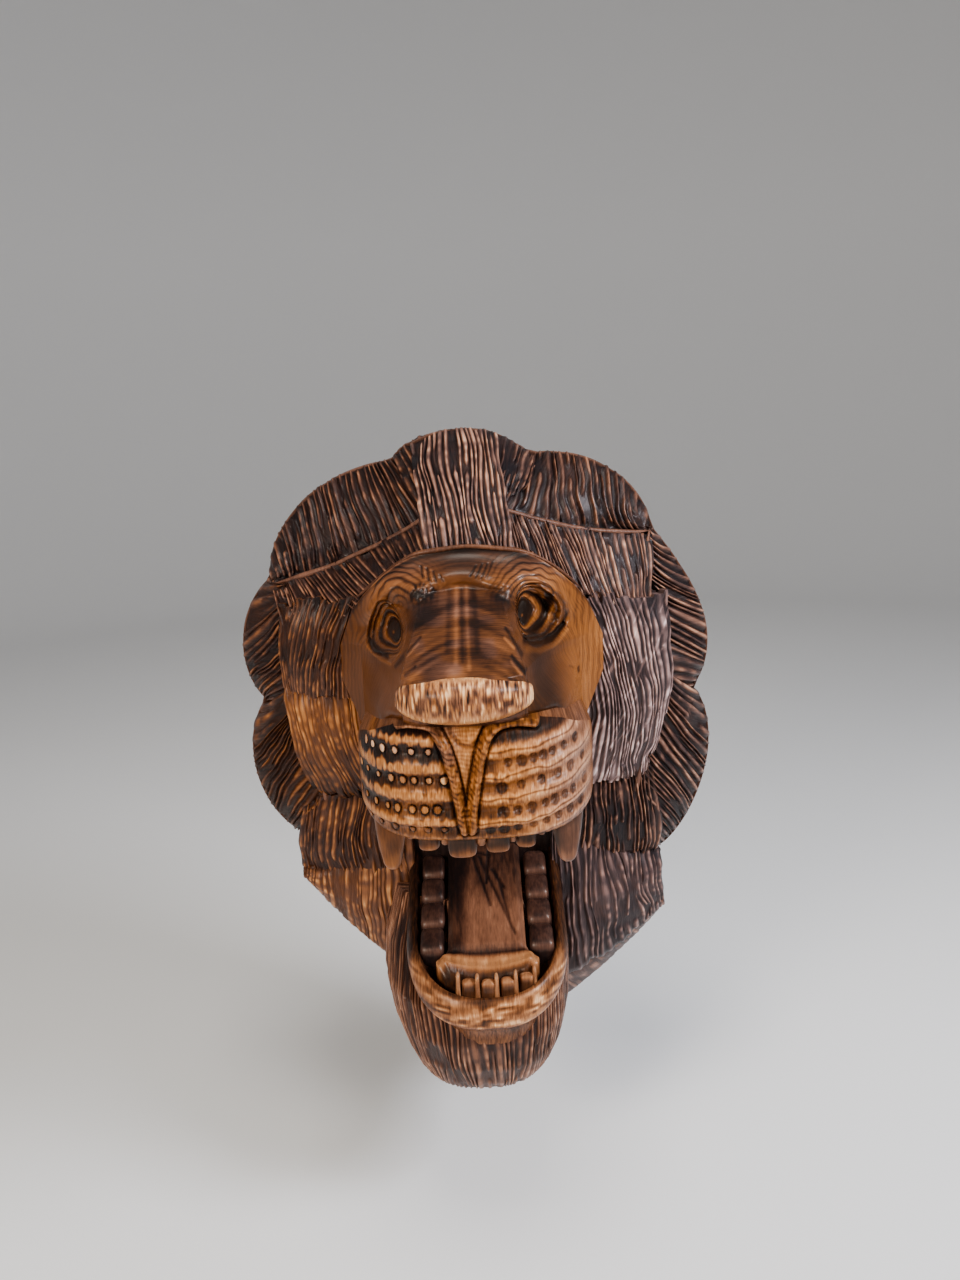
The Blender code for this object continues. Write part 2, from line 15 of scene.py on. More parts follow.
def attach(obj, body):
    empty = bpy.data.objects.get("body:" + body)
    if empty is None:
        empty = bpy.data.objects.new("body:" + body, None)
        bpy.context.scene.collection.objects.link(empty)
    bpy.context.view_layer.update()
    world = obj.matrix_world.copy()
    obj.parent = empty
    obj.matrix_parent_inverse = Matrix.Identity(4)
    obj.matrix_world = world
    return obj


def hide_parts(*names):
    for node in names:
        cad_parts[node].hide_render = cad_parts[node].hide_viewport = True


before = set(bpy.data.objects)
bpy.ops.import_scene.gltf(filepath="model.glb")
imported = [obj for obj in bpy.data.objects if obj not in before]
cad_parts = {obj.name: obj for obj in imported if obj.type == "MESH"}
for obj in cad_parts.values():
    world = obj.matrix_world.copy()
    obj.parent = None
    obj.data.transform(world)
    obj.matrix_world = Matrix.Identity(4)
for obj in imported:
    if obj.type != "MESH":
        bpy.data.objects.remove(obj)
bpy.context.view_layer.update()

MM = 0.001

# %% [markdown]
# A phone's wide lens at arm's length makes the muzzle look large and the mane small, so the camera
# stands 0.65 m in front of the wall, a little above the mask, and looks down at it.

# %% Camera
lens = bpy.data.cameras.new("phone_lens")
lens.lens = 28.0
lens.sensor_width = 36.0
camera = bpy.data.objects.new("camera", lens)
bpy.context.scene.collection.objects.link(camera)
tilt, lean = Matrix.Rotation(radians(78.0), 4, "X"), Matrix.Rotation(radians(-2.6), 4, "Z")
camera.matrix_world = Matrix.Translation((0.005, -0.663, 0.198)) @ tilt @ lean
bpy.context.scene.camera = camera
print("camera", [round(value, 3) for value in camera.location])

# %% [markdown]
# Two helpers shape everything below. The S curve blends one value into another without a kink, and the
# random hills stand for whatever a hand does unevenly. The hills are seeded, so each run is the same.

# %% S curve and random hills
def smooth(a, b, t):
    """0 below a, 1 above b and an even S between them; it also runs downwards when a is above b."""
    q = np.clip((np.asarray(t, float) - a) / (b - a), 0.0, 1.0)
    return q * q * (3.0 - 2.0 * q)


def hills(x, y, seed):
    """Soft random hills from 0 to 1: a random height at each whole-number point, blended with the S curve."""
    x, y = np.broadcast_arrays(np.asarray(x, float), np.asarray(y, float))
    i, j = np.floor(x).astype(int), np.floor(y).astype(int)
    a, b = smooth(0.0, 1.0, x - i), smooth(0.0, 1.0, y - j)
    table = np.random.default_rng(seed).random((97, 97))
    low = table[i % 97, j % 97] * (1.0 - a) + table[(i + 1) % 97, j % 97] * a
    high = table[i % 97, (j + 1) % 97] * (1.0 - a) + table[(i + 1) % 97, (j + 1) % 97] * a
    return low * (1.0 - b) + high * b


sample = hills(np.arange(9) * 0.4, 0.5, 1)
print("hills between", sample.min().round(2), "and", sample.max().round(2))

# %% [markdown]
# Carved lines such as lids, wrinkles and ropes are drawn as short curves on the surface. A curve through
# a few points is rounded first, and then every point of the surface learns how far it is from it.

# %% Curves and distance to them
def curve_through(points, count):
    """A rounded line through points: a Catmull-Rom curve, each stretch a cubic blend of four neighbours."""
    p = np.asarray(points, float)
    p = np.vstack([2.0 * p[0] - p[1], p, 2.0 * p[-1] - p[-2]])
    at = np.linspace(0.0, len(p) - 3.0 - 1e-9, count)
    k = at.astype(int)
    t = (at - k)[:, None]
    a, b, c, d = p[k], p[k + 1], p[k + 2], p[k + 3]
    return 0.5 * (2.0 * b + (c - a) * t + (2.0 * a - 5.0 * b + 4.0 * c - d) * t ** 2
                  + (3.0 * b - a - 3.0 * c + d) * t ** 3)


def line_distance(x, z, line):
    """Distance to the nearest piece of a line: to the foot of the perpendicular, kept inside the piece."""
    best = np.full(np.shape(x), 1e9)
    for (ax, az), (bx, bz) in zip(line[:-1], line[1:]):
        share = ((x - ax) * (bx - ax) + (z - az) * (bz - az)) / max((bx - ax) ** 2 + (bz - az) ** 2, 1e-9)
        share = np.clip(share, 0.0, 1.0)
        best = np.minimum(best, np.hypot(x - ax - share * (bx - ax), z - az - share * (bz - az)))
    return best


def stroke(x, z, points, width):
    """1 on a rounded line through points and 0 from a width away on, with an S between."""
    return smooth(width, 0.0, line_distance(x, z, curve_through(points, 4 * len(points))))


print("a curve through three points has", len(curve_through(((0, 0), (5, 3), (9, 0)), 12)), "points")

# %% [markdown]
# Every carved form is a closed body. A relief is a grid of points with walls down into the block, and a
# ring body is a row of closed rings with a pole at both ends. Points are written as (x, z, h), where h is
# the distance from the wall. Each body also carries marks for the wood: tone runs from charred to bare and
# in places also holds painted light and shade, tint from grey to orange, and grain holds the mm across and
# along the fibres, so that streaks can follow every bend of the hair.

# %% Closed bodies from grids
def grid_faces(rows, cols, around=False):
    """The four-cornered faces between neighbouring rows and columns of a grid."""
    index = np.arange(rows * cols).reshape(rows, cols)
    if around:
        index = np.column_stack([index, index[:, 0]])
    return np.column_stack([index[:-1, :-1].ravel(), index[:-1, 1:].ravel(),
                            index[1:, 1:].ravel(), index[1:, :-1].ravel()])


def relief(top, tone, tint, floor, taper=1.0, wall_tone=0.3, grain=None):
    """A grid with walls: its border again 1 mm down, and at the floor, drawn in by the taper, then a pole."""
    rows, cols = top.shape[:2]
    index = np.arange(rows * cols).reshape(rows, cols)
    border = np.concatenate([index[0, :-1], index[:-1, -1], index[-1, :0:-1], index[:0:-1, 0]])
    points, count, down = top.reshape(-1, 3), len(border), np.array([0.0, 0.0, 1.0])
    below, foot = points[border] - down, points[border] * (taper, taper, 0.0) + floor * down
    levels = [border, len(points) + np.arange(count), len(points) + count + np.arange(count)]
    walls = [np.column_stack([np.roll(upper, -1), upper, lower, np.roll(lower, -1)])
             for upper, lower in zip(levels, levels[1:])]
    pole = np.full(count, len(points) + 2 * count)
    shade = wall_tone + 0.25 * (hills(np.arange(count) / 3.0, 0.5, 17) - 0.5)
    tones, tints = (np.broadcast_to(mark, (rows, cols)).ravel() for mark in (tone, tint))
    fibres = (top if grain is None else grain).reshape(-1, 3)
    return dict(points=np.vstack([points, below, foot, foot.mean(0)]),
                quads=np.vstack([grid_faces(rows, cols), *walls]),
                tris=np.column_stack([np.roll(levels[-1], -1), levels[-1], pole]),
                tone=np.concatenate([tones, shade, shade, [wall_tone]]),
                tint=np.concatenate([tints, tints[border], tints[border], [tints.mean()]]),
                grain=np.vstack([fibres, fibres[border] + down, fibres[border] + 30.0 * down, fibres[:1]]))


def ring_body(rings, tone, tint, grain=None):
    """Closed rings joined in order, with a pole in the middle of the first and of the last ring."""
    count, around = rings.shape[:2]
    first = np.arange(around)
    last, total = first + (count - 1) * around, count * around
    poles = np.vstack([np.column_stack([np.roll(first, -1), first, np.full(around, total)]),
                       np.column_stack([last, np.roll(last, -1), np.full(around, total + 1)])])
    marks = []
    for mark in (tone, tint):
        flat = np.broadcast_to(mark, (count, around)).ravel()
        marks.append(np.concatenate([flat, [flat[:around].mean(), flat[-around:].mean()]]))
    points, fibres = (np.vstack([r.reshape(-1, 3), r[0].mean(0), r[-1].mean(0)])
                      for r in (rings, rings if grain is None else grain))
    return dict(points=points, quads=grid_faces(count, around, True), tris=poles, tone=marks[0],
                tint=marks[1], grain=fibres)


def surface_normals(grid):
    """Unit normals of a grid: the cross product of its steps along the columns and along the rows."""
    n = np.cross(np.gradient(grid, axis=1), np.gradient(grid, axis=0))
    return n / np.maximum(np.linalg.norm(n, axis=-1, keepdims=True), 1e-9)


print("a grid of 3 by 4 points has", len(grid_faces(3, 4)), "faces")

# %% [markdown]
# The bodies of one region go into one mesh. The sign of a body's volume says whether its faces point in
# or out, and a body that is inside out is turned, so that the light sees it right.

# %% Put bodies into one mesh
def carve(name, bodies, material, crease=62.0):
    """Writes bodies as one mesh in metres, (x, z, h) becoming (x, -h, z), with the marks as attributes."""
    points, quads, tris, first = [], [], [], 0
    for body in bodies:
        xyz = np.column_stack([body["points"][:, 0], -body["points"][:, 2], body["points"][:, 1]]) * MM
        q, t = body["quads"], body["tris"]
        a, b, c = (xyz[np.vstack([q[:, :3], q[:, [0, 2, 3]], t])[:, k]] for k in range(3))
        if np.einsum("ij,ij->i", a, np.cross(b, c)).sum() < 0.0:
            q, t = q[:, ::-1], t[:, ::-1]
        points.append(xyz)
        quads.append(q + first)
        tris.append(t + first)
        first += len(xyz)
    co, q, t = np.vstack(points), np.vstack(quads), np.vstack(tris)
    mesh = bpy.data.meshes.new(name)
    corners = np.concatenate([q.ravel(), t.ravel()]).astype(np.int32)
    starts = np.concatenate([4 * np.arange(len(q)), 4 * len(q) + 3 * np.arange(len(t))]).astype(np.int32)
    mesh.vertices.add(len(co))
    mesh.vertices.foreach_set("co", co.astype(np.float32).ravel())
    mesh.loops.add(len(corners))
    mesh.loops.foreach_set("vertex_index", corners)
    mesh.polygons.add(len(starts))
    mesh.polygons.foreach_set("loop_start", starts)
    mesh.update(calc_edges=True)
    mesh.polygons.foreach_set("use_smooth", np.ones(len(starts), bool))
    mesh.set_sharp_from_angle(angle=radians(crease))
    for mark in ("tone", "tint"):
        values = np.concatenate([body[mark] for body in bodies]).astype(np.float32)
        mesh.attributes.new(mark, "FLOAT", "POINT").data.foreach_set("value", np.clip(values, 0.0, 1.0))
    fibres = np.vstack([body["grain"] for body in bodies]).astype(np.float32)
    mesh.attributes.new("grain", "FLOAT_VECTOR", "POINT").data.foreach_set("vector", fibres.ravel())
    mesh.materials.append(material)
    piece = bpy.data.objects.new(name, mesh)
    bpy.context.scene.collection.objects.link(piece)
    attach(piece, "root")
    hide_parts("lion_head")
    print(f"{name}: {2 * len(q) + len(t)} triangles in {len(bodies)} bodies")
    return piece

# %% [markdown]
# The wood is one wood everywhere, only more or less charred, and in places its tone also holds painted
# light and shade. So one recipe makes all of its finishes: the tone mark picks a colour on a scale from
# soot to bare tan, fine fibres and soft patches shift it a little, and the tint mark leans it from
# violet-grey to orange. The fibres are noise stretched along the grain. On the face they are thin shells
# one behind another, so they draw contour lines on every bulge.

# %% Wood recipe
SOOT_TO_BARE = ((0.00, (0.004, 0.003, 0.005)), (0.15, (0.016, 0.010, 0.011)), (0.35, (0.060, 0.036, 0.034)),
                (0.55, (0.145, 0.088, 0.080)), (0.75, (0.29, 0.183, 0.168)), (0.90, (0.49, 0.335, 0.315)),
                (1.00, (0.72, 0.54, 0.51)))
SOOT_TO_ORANGE = ((0.00, (0.005, 0.002, 0.001)), (0.15, (0.028, 0.008, 0.002)), (0.35, (0.095, 0.028, 0.005)),
                  (0.55, (0.215, 0.069, 0.013)), (0.75, (0.42, 0.163, 0.044)), (0.90, (0.64, 0.30, 0.10)),
                  (1.00, (0.84, 0.50, 0.22)))


class WoodRecipe:
    """A small notebook of nodes: each method adds one node and hands back its result."""

    def __init__(self, name):
        self.material = bpy.data.materials.new(name)
        self.material.use_nodes = True
        self.tree = self.material.node_tree
        self.shader = self.tree.nodes["Principled BSDF"]
        self.place = self.tree.nodes.new("ShaderNodeTexCoord").outputs["Object"]

    def feed(self, socket, value):
        if isinstance(value, bpy.types.NodeSocket):
            self.tree.links.new(value, socket)
        else:
            socket.default_value = value

    def sum(self, operation, a, b=0.0, clamp=False):
        node = self.tree.nodes.new("ShaderNodeMath")
        node.operation = operation
        node.use_clamp = clamp
        self.feed(node.inputs[0], a)
        self.feed(node.inputs[1], b)
        return node.outputs[0]

    def mark(self, name, output="Fac"):
        node = self.tree.nodes.new("ShaderNodeAttribute")
        node.attribute_name = name
        return node.outputs[output]

    def noise(self, stretch, detail=3.0, roughness=0.55, place=None):
        """Noise on object coordinates in metres, or on the grain in mm; stretch is hills per unit."""
        mapping = self.tree.nodes.new("ShaderNodeMapping")
        mapping.inputs["Scale"].default_value = stretch
        self.tree.links.new(place or self.place, mapping.inputs["Vector"])
        node = self.tree.nodes.new("ShaderNodeTexNoise")
        node.inputs["Scale"].default_value = 1.0
        node.inputs["Detail"].default_value = detail
        node.inputs["Roughness"].default_value = roughness
        self.tree.links.new(mapping.outputs[0], node.inputs["Vector"])
        return node.outputs["Fac"]

    def scale_of(self, value, stops):
        node = self.tree.nodes.new("ShaderNodeValToRGB")
        ramp = node.color_ramp
        while len(ramp.elements) < len(stops):
            ramp.elements.new(0.5)
        for element, (place, colour) in zip(ramp.elements, stops):
            element.position = place
            element.color = (*colour, 1.0)
        self.tree.links.new(value, node.inputs["Fac"])
        return node.outputs["Color"]

    def blend(self, share, a, b):
        node = self.tree.nodes.new("ShaderNodeMix")
        node.data_type = "RGBA"
        self.feed(node.inputs["Factor"], share)
        self.feed(node.inputs[6], a)
        self.feed(node.inputs[7], b)
        return node.outputs[2]


PATCHES_PER_METRE = 45.0
FIBRE_RELIEF = 0.0006  # metres


def wood(name, fibre, fibre_strength, patch_strength, roughness, bump, shine, varnish=(1.0, 0.86, 0.74)):
    """Tone mark + fibres (stretched noise on the grain) + soft patches, read on the two colour scales."""
    recipe = WoodRecipe(name)
    streaks = recipe.noise(fibre, 3.0, 0.6, recipe.mark("grain", "Vector"))
    streak = recipe.sum("MULTIPLY", recipe.sum("SUBTRACT", streaks, 0.5), fibre_strength)
    patches = recipe.noise((PATCHES_PER_METRE,) * 3)
    patch = recipe.sum("MULTIPLY", recipe.sum("SUBTRACT", patches, 0.5), patch_strength)
    tone = recipe.sum("ADD", recipe.sum("ADD", recipe.mark("tone"), streak), patch, clamp=True)
    grey, orange = recipe.scale_of(tone, SOOT_TO_BARE), recipe.scale_of(tone, SOOT_TO_ORANGE)
    rough = recipe.sum("SUBTRACT", roughness, recipe.sum("MULTIPLY", tone, 0.20))
    bumps = recipe.tree.nodes.new("ShaderNodeBump")
    for socket, value in (("Strength", bump), ("Distance", FIBRE_RELIEF), ("Height", streaks)):
        recipe.feed(bumps.inputs[socket], value)
    for socket, value in (("Base Color", recipe.blend(recipe.mark("tint"), grey, orange)),
                          ("Roughness", recipe.sum("SUBTRACT", rough, recipe.sum("MULTIPLY", streak, 0.3))),
                          ("Normal", bumps.outputs["Normal"]), ("Specular IOR Level", shine),
                          ("Specular Tint", (*varnish, 1.0)), ("Coat Weight", 0.25 * shine),
                          ("Coat Roughness", 0.15)):
        recipe.feed(recipe.shader.inputs[socket], value)
    return recipe.material


mane_wood = wood("charred_mane_wood", fibre=(0.75, 0.10, 0.1), fibre_strength=0.42, patch_strength=0.26,
                 roughness=0.48, bump=0.7, shine=0.18, varnish=(1.0, 0.92, 0.92))
face_wood = wood("varnished_face_wood", fibre=(0.05, 0.05, 1.1), fibre_strength=0.24, patch_strength=0.22,
                 roughness=0.40, bump=0.12, shine=0.22)
muzzle_wood = wood("scorched_muzzle_wood", fibre=(1.05, 0.15, 0.2), fibre_strength=0.80, patch_strength=0.24,
                   roughness=0.44, bump=0.4, shine=0.17)
mouth_wood = wood("smoked_mouth_wood", fibre=(0.9, 0.10, 0.3), fibre_strength=0.40, patch_strength=0.30,
                  roughness=0.42, bump=0.35, shine=0.26)
back_wood = wood("plain_back_wood", fibre=(0.7, 0.02, 0.2), fibre_strength=0.30, patch_strength=0.14,
                 roughness=0.70, bump=0.6, shine=0.15)
print("wood finishes:", [m.name for m in (mane_wood, face_wood, muzzle_wood, mouth_wood, back_wood)])

# %% [markdown]
# The mane is nineteen raised locks. Each lock is stretched between a root edge and a tip edge. Bow is how
# far each edge swells sideways, peak where the tip edge swells most, lift how far it rises there, bend how
# far the whole lock leans over, and crown and belly how round it is across and along. These are the same
# as in the solid. After them come the numbers of the carving: pitch is the width of a strand in mm, thin
# the half width of its crest as a share of that, depth the depth of the groove, lean how far the strands
# slant, tone and tint the look of the crests, valley the tone of the grooves, ends how raggedly the
# strands start and stop, scratch how strongly painted highlight lines cross them, and fall how much
# darker they get towards the tip.

# %% The locks and their carving
USUAL_CARVING = dict(pitch=3.5, thin=0.09, depth=2.1, lean=0.0, tone=0.60, tint=0.35, valley=0.04,
                     ends=(2.5, 2.5), scratch=0.0, fall=0.0)


def lock(root, tip, bow=(0, 0), peak=0.5, lift=0.0, bend=0.0, crown=0.0, belly=0.0, **carving):
    """The numbers of one lock, with the usual carving where nothing else is said."""
    return dict(root=root, tip=tip, bow=bow, peak=peak, lift=lift, bend=bend, crown=crown, belly=belly,
                **{**USUAL_CARVING, **carving})


LOCKS = {
    "tuft": lock(root=((-24, 132, 104), (27, 131, 104)), tip=((-34, 190, 38), (22, 194, 40)), bow=(-2, 7),
                 lift=4, crown=5, belly=11, pitch=3.0, thin=0.15, depth=2.0, tone=0.68, tint=0.36,
                 ends=(3, 0)),
    "tuft_left": lock(root=((-26, 150, 78), (-8, 150, 84)), tip=((-46, 181, 28), (-20, 196, 34)), bow=(0, 4),
                      crown=3, belly=8, tone=0.38, tint=0.5, ends=(2, 0)),
    "tuft_right": lock(root=((8, 152, 80), (36, 160, 62)), tip=((10, 197, 36), (47, 177, 28)), bow=(0, 4),
                       peak=0.4, crown=3, belly=8, tone=0.46, ends=(2, 0)),
    "crown_right": lock(root=((12, 156, 80), (115, 131, 40)), tip=((40, 181, 28), (118, 131, 26)),
                        bow=(-6, 19), peak=0.52, lift=5, belly=5, pitch=5.0, thin=0.06, depth=2.8, lean=-0.34,
                        tone=0.39, tint=0.42, ends=(1, 0)),
    "under_crown_right": lock(root=((12, 157, 81), (116, 130, 41)), tip=((14, 133, 103), (114, 88, 58)),
                              bow=(6, 11), lift=9, crown=2, belly=3, pitch=2.9, thin=0.11, lean=0.16,
                              tone=0.62, tint=0.34, ends=(1, 3), scratch=0.12),
    "outer_right": lock(root=((114, 134, 40), (120, 24, 55)), tip=((118, 133, 26), (141, 21, 26)),
                        bow=(-6, 21), peak=0.6, lift=4, crown=3, belly=5, pitch=4.8, thin=0.1, depth=2.6,
                        lean=0.26, tone=0.56, tint=0.40, ends=(3, 0)),
    # cheek_right's light tone and violet-grey tint are partly the wood and partly painted sheen, the lilac
    # gloss of the varnish.
    "cheek_right": lock(root=((60, 99, 84), (122, 94, 56)), tip=((50, -24, 62), (108, -26, 52)), lift=3,
                        bend=9, crown=9, belly=5, pitch=2.8, thin=0.15, depth=1.4, lean=0.48, tone=0.76,
                        tint=0.02, valley=0.15, scratch=0.30, fall=-0.14),
    "lower_right": lock(root=((121, 46, 56), (100, -62, 50)), tip=((141, 27, 26), (121, -88, 26)),
                        bow=(-5, 21), peak=0.42, lift=4, crown=4, belly=6, pitch=4.8, thin=0.09, depth=2.6,
                        lean=0.26, tone=0.50, ends=(3, 0), scratch=0.15),
    "jowl_right": lock(root=((46, -10, 60), (114, -20, 52)), tip=((46, -72, 60), (119, -86, 40)), lift=2,
                       bend=3, crown=5, belly=3, pitch=3.3, thin=0.1, tone=0.50, tint=0.40, scratch=0.2),
    "side_beard_right": lock(root=((46, -52, 62), (121, -85, 34)), tip=((40, -168, 56), (125, -128, 30)),
                             lift=10, crown=7, belly=6, pitch=4.4, thin=0.10, depth=1.6, lean=0.12, tone=0.52,
                             tint=0.06, valley=0.15),
    "edge_right": lock(root=((30, -165, 56), (122, -120, 36)), tip=((52, -199, 26), (125, -129, 26)),
                       bow=(0, 3), crown=2, belly=3, pitch=5.6, thin=0.26, depth=0.4, tone=0.44, valley=0.2,
                       ends=(0, 0)),
    "crown_left": lock(root=((-12, 156, 80), (-125, 108, 38)), tip=((-42, 182, 28), (-128, 109, 26)),
                       bow=(-6, 22), peak=0.55, lift=5, belly=5, pitch=4.2, thin=0.06, depth=2.6, lean=-0.22,
                       tone=0.42, tint=0.48, ends=(1, 0)),
    "under_crown_left": lock(root=((-12, 157, 81), (-126, 107, 39)), tip=((-12, 135, 103), (-118, 84, 56)),
                             bow=(6, 10), lift=10, crown=2, belly=3, pitch=3.2, thin=0.1, lean=-0.16,
                             tone=0.52, tint=0.5, ends=(1, 3)),
    "outer_left": lock(root=((-116, 108, 46), (-112, 32, 56)), tip=((-127, 111, 26), (-136, 27, 26)),
                       bow=(-4, 18), lift=4, crown=3, belly=5, pitch=4.4, thin=0.1, depth=2.2, lean=0.46,
                       tone=0.44, tint=0.75, ends=(2, 0)),
    "temple_left": lock(root=((-62, 104, 86), (-120, 98, 52)), tip=((-70, 40, 80), (-119, 38, 55)), lift=3,
                        bend=-2, crown=6, belly=3, pitch=2.9, thin=0.12, depth=1.6, lean=0.30, tone=0.42,
                        tint=0.78, valley=0.09, fall=-0.10),
    "cheek_left": lock(root=((-64, 50, 80), (-120, 46, 55)), tip=((-50, -26, 62), (-108, -28, 52)), lift=3,
                       bend=-3, crown=8, belly=5, pitch=3.2, thin=0.2, depth=0.8, lean=-0.10, tone=0.45,
                       tint=0.96, valley=0.31, ends=(4, 4), fall=0.26),
    "lower_left": lock(root=((-116, 44, 56), (-98, -54, 50)), tip=((-136, 31, 26), (-121, -66, 26)),
                       bow=(-4, 20), peak=0.47, lift=4, crown=4, belly=6, pitch=4.6, thin=0.1, depth=2.2,
                       lean=0.42, tone=0.32, tint=0.98, valley=0.09, ends=(2, 0)),
    "jowl_left": lock(root=((-46, -12, 60), (-114, -34, 50)), tip=((-46, -92, 60), (-123, -92, 30)), lift=3,
                      bend=-3, crown=5, belly=4, pitch=3.6, thin=0.11, depth=1.6, tone=0.44, tint=0.8,
                      valley=0.14, ends=(3, 3)),
    "side_beard_left": lock(root=((-44, -56, 62), (-122, -88, 34)), tip=((-40, -172, 40), (-121, -97, 26)),
                            bow=(0, 3), lift=6, crown=6, belly=7, pitch=4.5, thin=0.22, depth=0.8, tone=0.54,
                            tint=0.82, valley=0.28, ends=(3, 0)),
}
print(len(LOCKS), "locks")

# %% [markdown]
# A lock's surface is a function of two numbers: u runs from root to tip and v from side to side. The
# same function gives the outline of the whole mask, because the outline is made of tip edges.

# %% Surface of a lock
def swollen_edge(ends, v, bow, peak, outward, lift=0.0):
    """A straight edge pushed sideways by bow (4w(1-w))^0.75, where w is v bent so that the peak is at 0.5."""
    a, b = (np.array(end, float) for end in ends)
    chord = (b - a)[:2]
    side = np.array([-chord[1], chord[0]]) / np.linalg.norm(chord)
    side = side if np.dot(side, outward[:2]) >= 0 else -side
    w = v ** (np.log(0.5) / np.log(peak))
    swell = (4.0 * w * (1.0 - w)) ** 0.75
    line = a + (b - a) * v[..., None]
    line[..., :2] += side * (bow * swell)[..., None]
    line[..., 2] += lift * swell
    return line


def lock_surface(one, u, v):
    """Straight lines from root edge to tip edge, rounded across by the crown and along by the belly."""
    u, v = np.broadcast_arrays(np.asarray(u, float), np.asarray(v, float))
    along = np.mean(one["tip"], axis=0) - np.mean(one["root"], axis=0)
    p = (swollen_edge(one["root"], v, one["bow"][0], 0.5, along) * (1.0 - u)[..., None]
         + swollen_edge(one["tip"], v, one["bow"][1], one["peak"], along, one["lift"]) * u[..., None])
    across = np.array([-along[1], along[0]]) / np.linalg.norm(along[:2])
    across = across if across[0] >= 0 else -across
    p[..., :2] += across * (one["bend"] * np.sin(np.pi * u))[..., None]
    rounding = 1.0 - np.abs(2.0 * v - 1.0) ** 2.6
    rounding = rounding * (0.55 + 0.45 * np.sin(np.pi * u))
    p[..., 2] += one["crown"] * rounding + one["belly"] * 4.0 * u * (1.0 - u)
    return p


print("middle of the right cheek lock:", lock_surface(LOCKS["cheek_right"], 0.5, 0.5).round(1))

# %% [markdown]
# One pass of a V gouge leaves a groove, and the wood between two passes is a strand. So the grid gets
# seven columns for each strand, two of them on its crest, and its lines run along the strands: few
# points then give sharp crests. Widths are uneven, some grooves silt up half way, and each strand was
# rubbed more or less bare.

# %% Strands of hair
CREST_TO_GROOVE = np.array([-0.5, -0.36, -0.20, -0.07, 0.07, 0.20, 0.36])


def strand_columns(count, seed):
    """For each column its place from 0 to 1, its place across its strand and the strand's number.

    The strands have random widths, and each repeats the places of CREST_TO_GROOVE.
    """
    width = np.random.default_rng(seed).uniform(0.5, 1.5, count)
    edge = np.concatenate([[0.0], np.cumsum(width)]) / width.sum()
    middle, span = 0.5 * (edge[1:] + edge[:-1]), np.diff(edge)
    v = np.append((middle[:, None] + span[:, None] * CREST_TO_GROOVE).ravel(), 1.0)
    strand = np.append(np.repeat(np.arange(count), len(CREST_TO_GROOVE)), count - 1)
    return v, np.append(np.tile(CREST_TO_GROOVE, count), 0.5), strand


def hair(length, across, strand, thin, seed):
    """Crest: an S curve of the distance from the middle of the strand, 1 on the crest and 0 in the groove.

    Gap: stretches where the strand is cut away. Silt: stretches where the groove is shallow. Rub: how bare.
    """
    gap = smooth(0.66, 0.90, hills(strand * 1.37 + 3.0, length / 15.0, seed + 4))
    half = thin * (0.3 + 1.2 * hills(strand * 0.9, length / 9.0, seed)) - 0.42 * gap
    crest = smooth(half + 0.27, half, np.abs(across))
    silt = smooth(0.50, 0.85, hills(strand * 0.83 + 7.0, length / 17.0, seed + 1)) * (1.0 - gap)
    height = crest * (0.75 + 0.25 * hills(strand * 2.3, length / 19.0, seed + 7))
    height = height + (1.0 - height) * 0.55 * silt
    rub = 0.40 * hills(strand * 1.93, length / 24.0, seed + 2)
    rub = rub + 0.60 * hills(strand * 3.1, length / 3.0, seed + 3)
    return height, crest, rub


print("columns of five strands:", strand_columns(5, 1)[0].round(2)[:8], "...")

# %% [markdown]
# A carved lock is the smooth lock pushed inwards along its own normal wherever a groove runs. The groove
# runs out near the root, and the tip edge is rounded over, where the real one was sanded.

# %% Carve the locks
ROW_STEP = 1.2  # mm between two rows of points along the strands
WALL_TAPER = 0.960  # a lock's wall draws in by 4%, so it ends inside the block's own wall


def lock_size(one):
    """Mean width across the strands and mean length along them, in mm, from the four corners."""
    a, b, c, d = (np.array(corner, float) for corner in (*one["root"], *one["tip"]))
    norm = np.linalg.norm
    return 0.5 * (norm(b - a) + norm(d - c)), 0.5 * (norm(c - a) + norm(d - b))


def lock_tone(one, height, crest, rub, rubbed, top, u, seed):
    """From the groove's tone up to the ridge's with the height, and up to bare wood with the crest.

    Painted highlight lines cross it, painted shade darkens the root, and fall takes some off towards the tip.
    """
    bare = np.clip(one["tone"] + 0.85 * (rub - 0.52), 0.0, 0.90)
    ridge = (0.42 + 0.14 * rubbed) * one["tone"]
    tone = one["valley"] + 0.07 * rubbed
    tone = tone + height * np.maximum(ridge - tone, 0.0) + crest ** 2 * np.maximum(bare - ridge, 0.0)
    x, z = top[..., 0], top[..., 1]
    # Painted highlight lines slanting across the strands; the lock's scratch number says how strong they are.
    highlight_lines = hills((0.87 * x - 0.5 * z) / 1.3, (0.5 * x + 0.87 * z) / 11.0, seed + 12)
    tone = tone + one["scratch"] * smooth(0.74, 0.90, highlight_lines)
    # Painted shade at the root: up to 40% darker over the first sixth of the lock.
    return tone * (1.0 - 0.40 * smooth(0.16, 0.0, u)) - one["fall"] * smooth(0.4, 1.0, u)


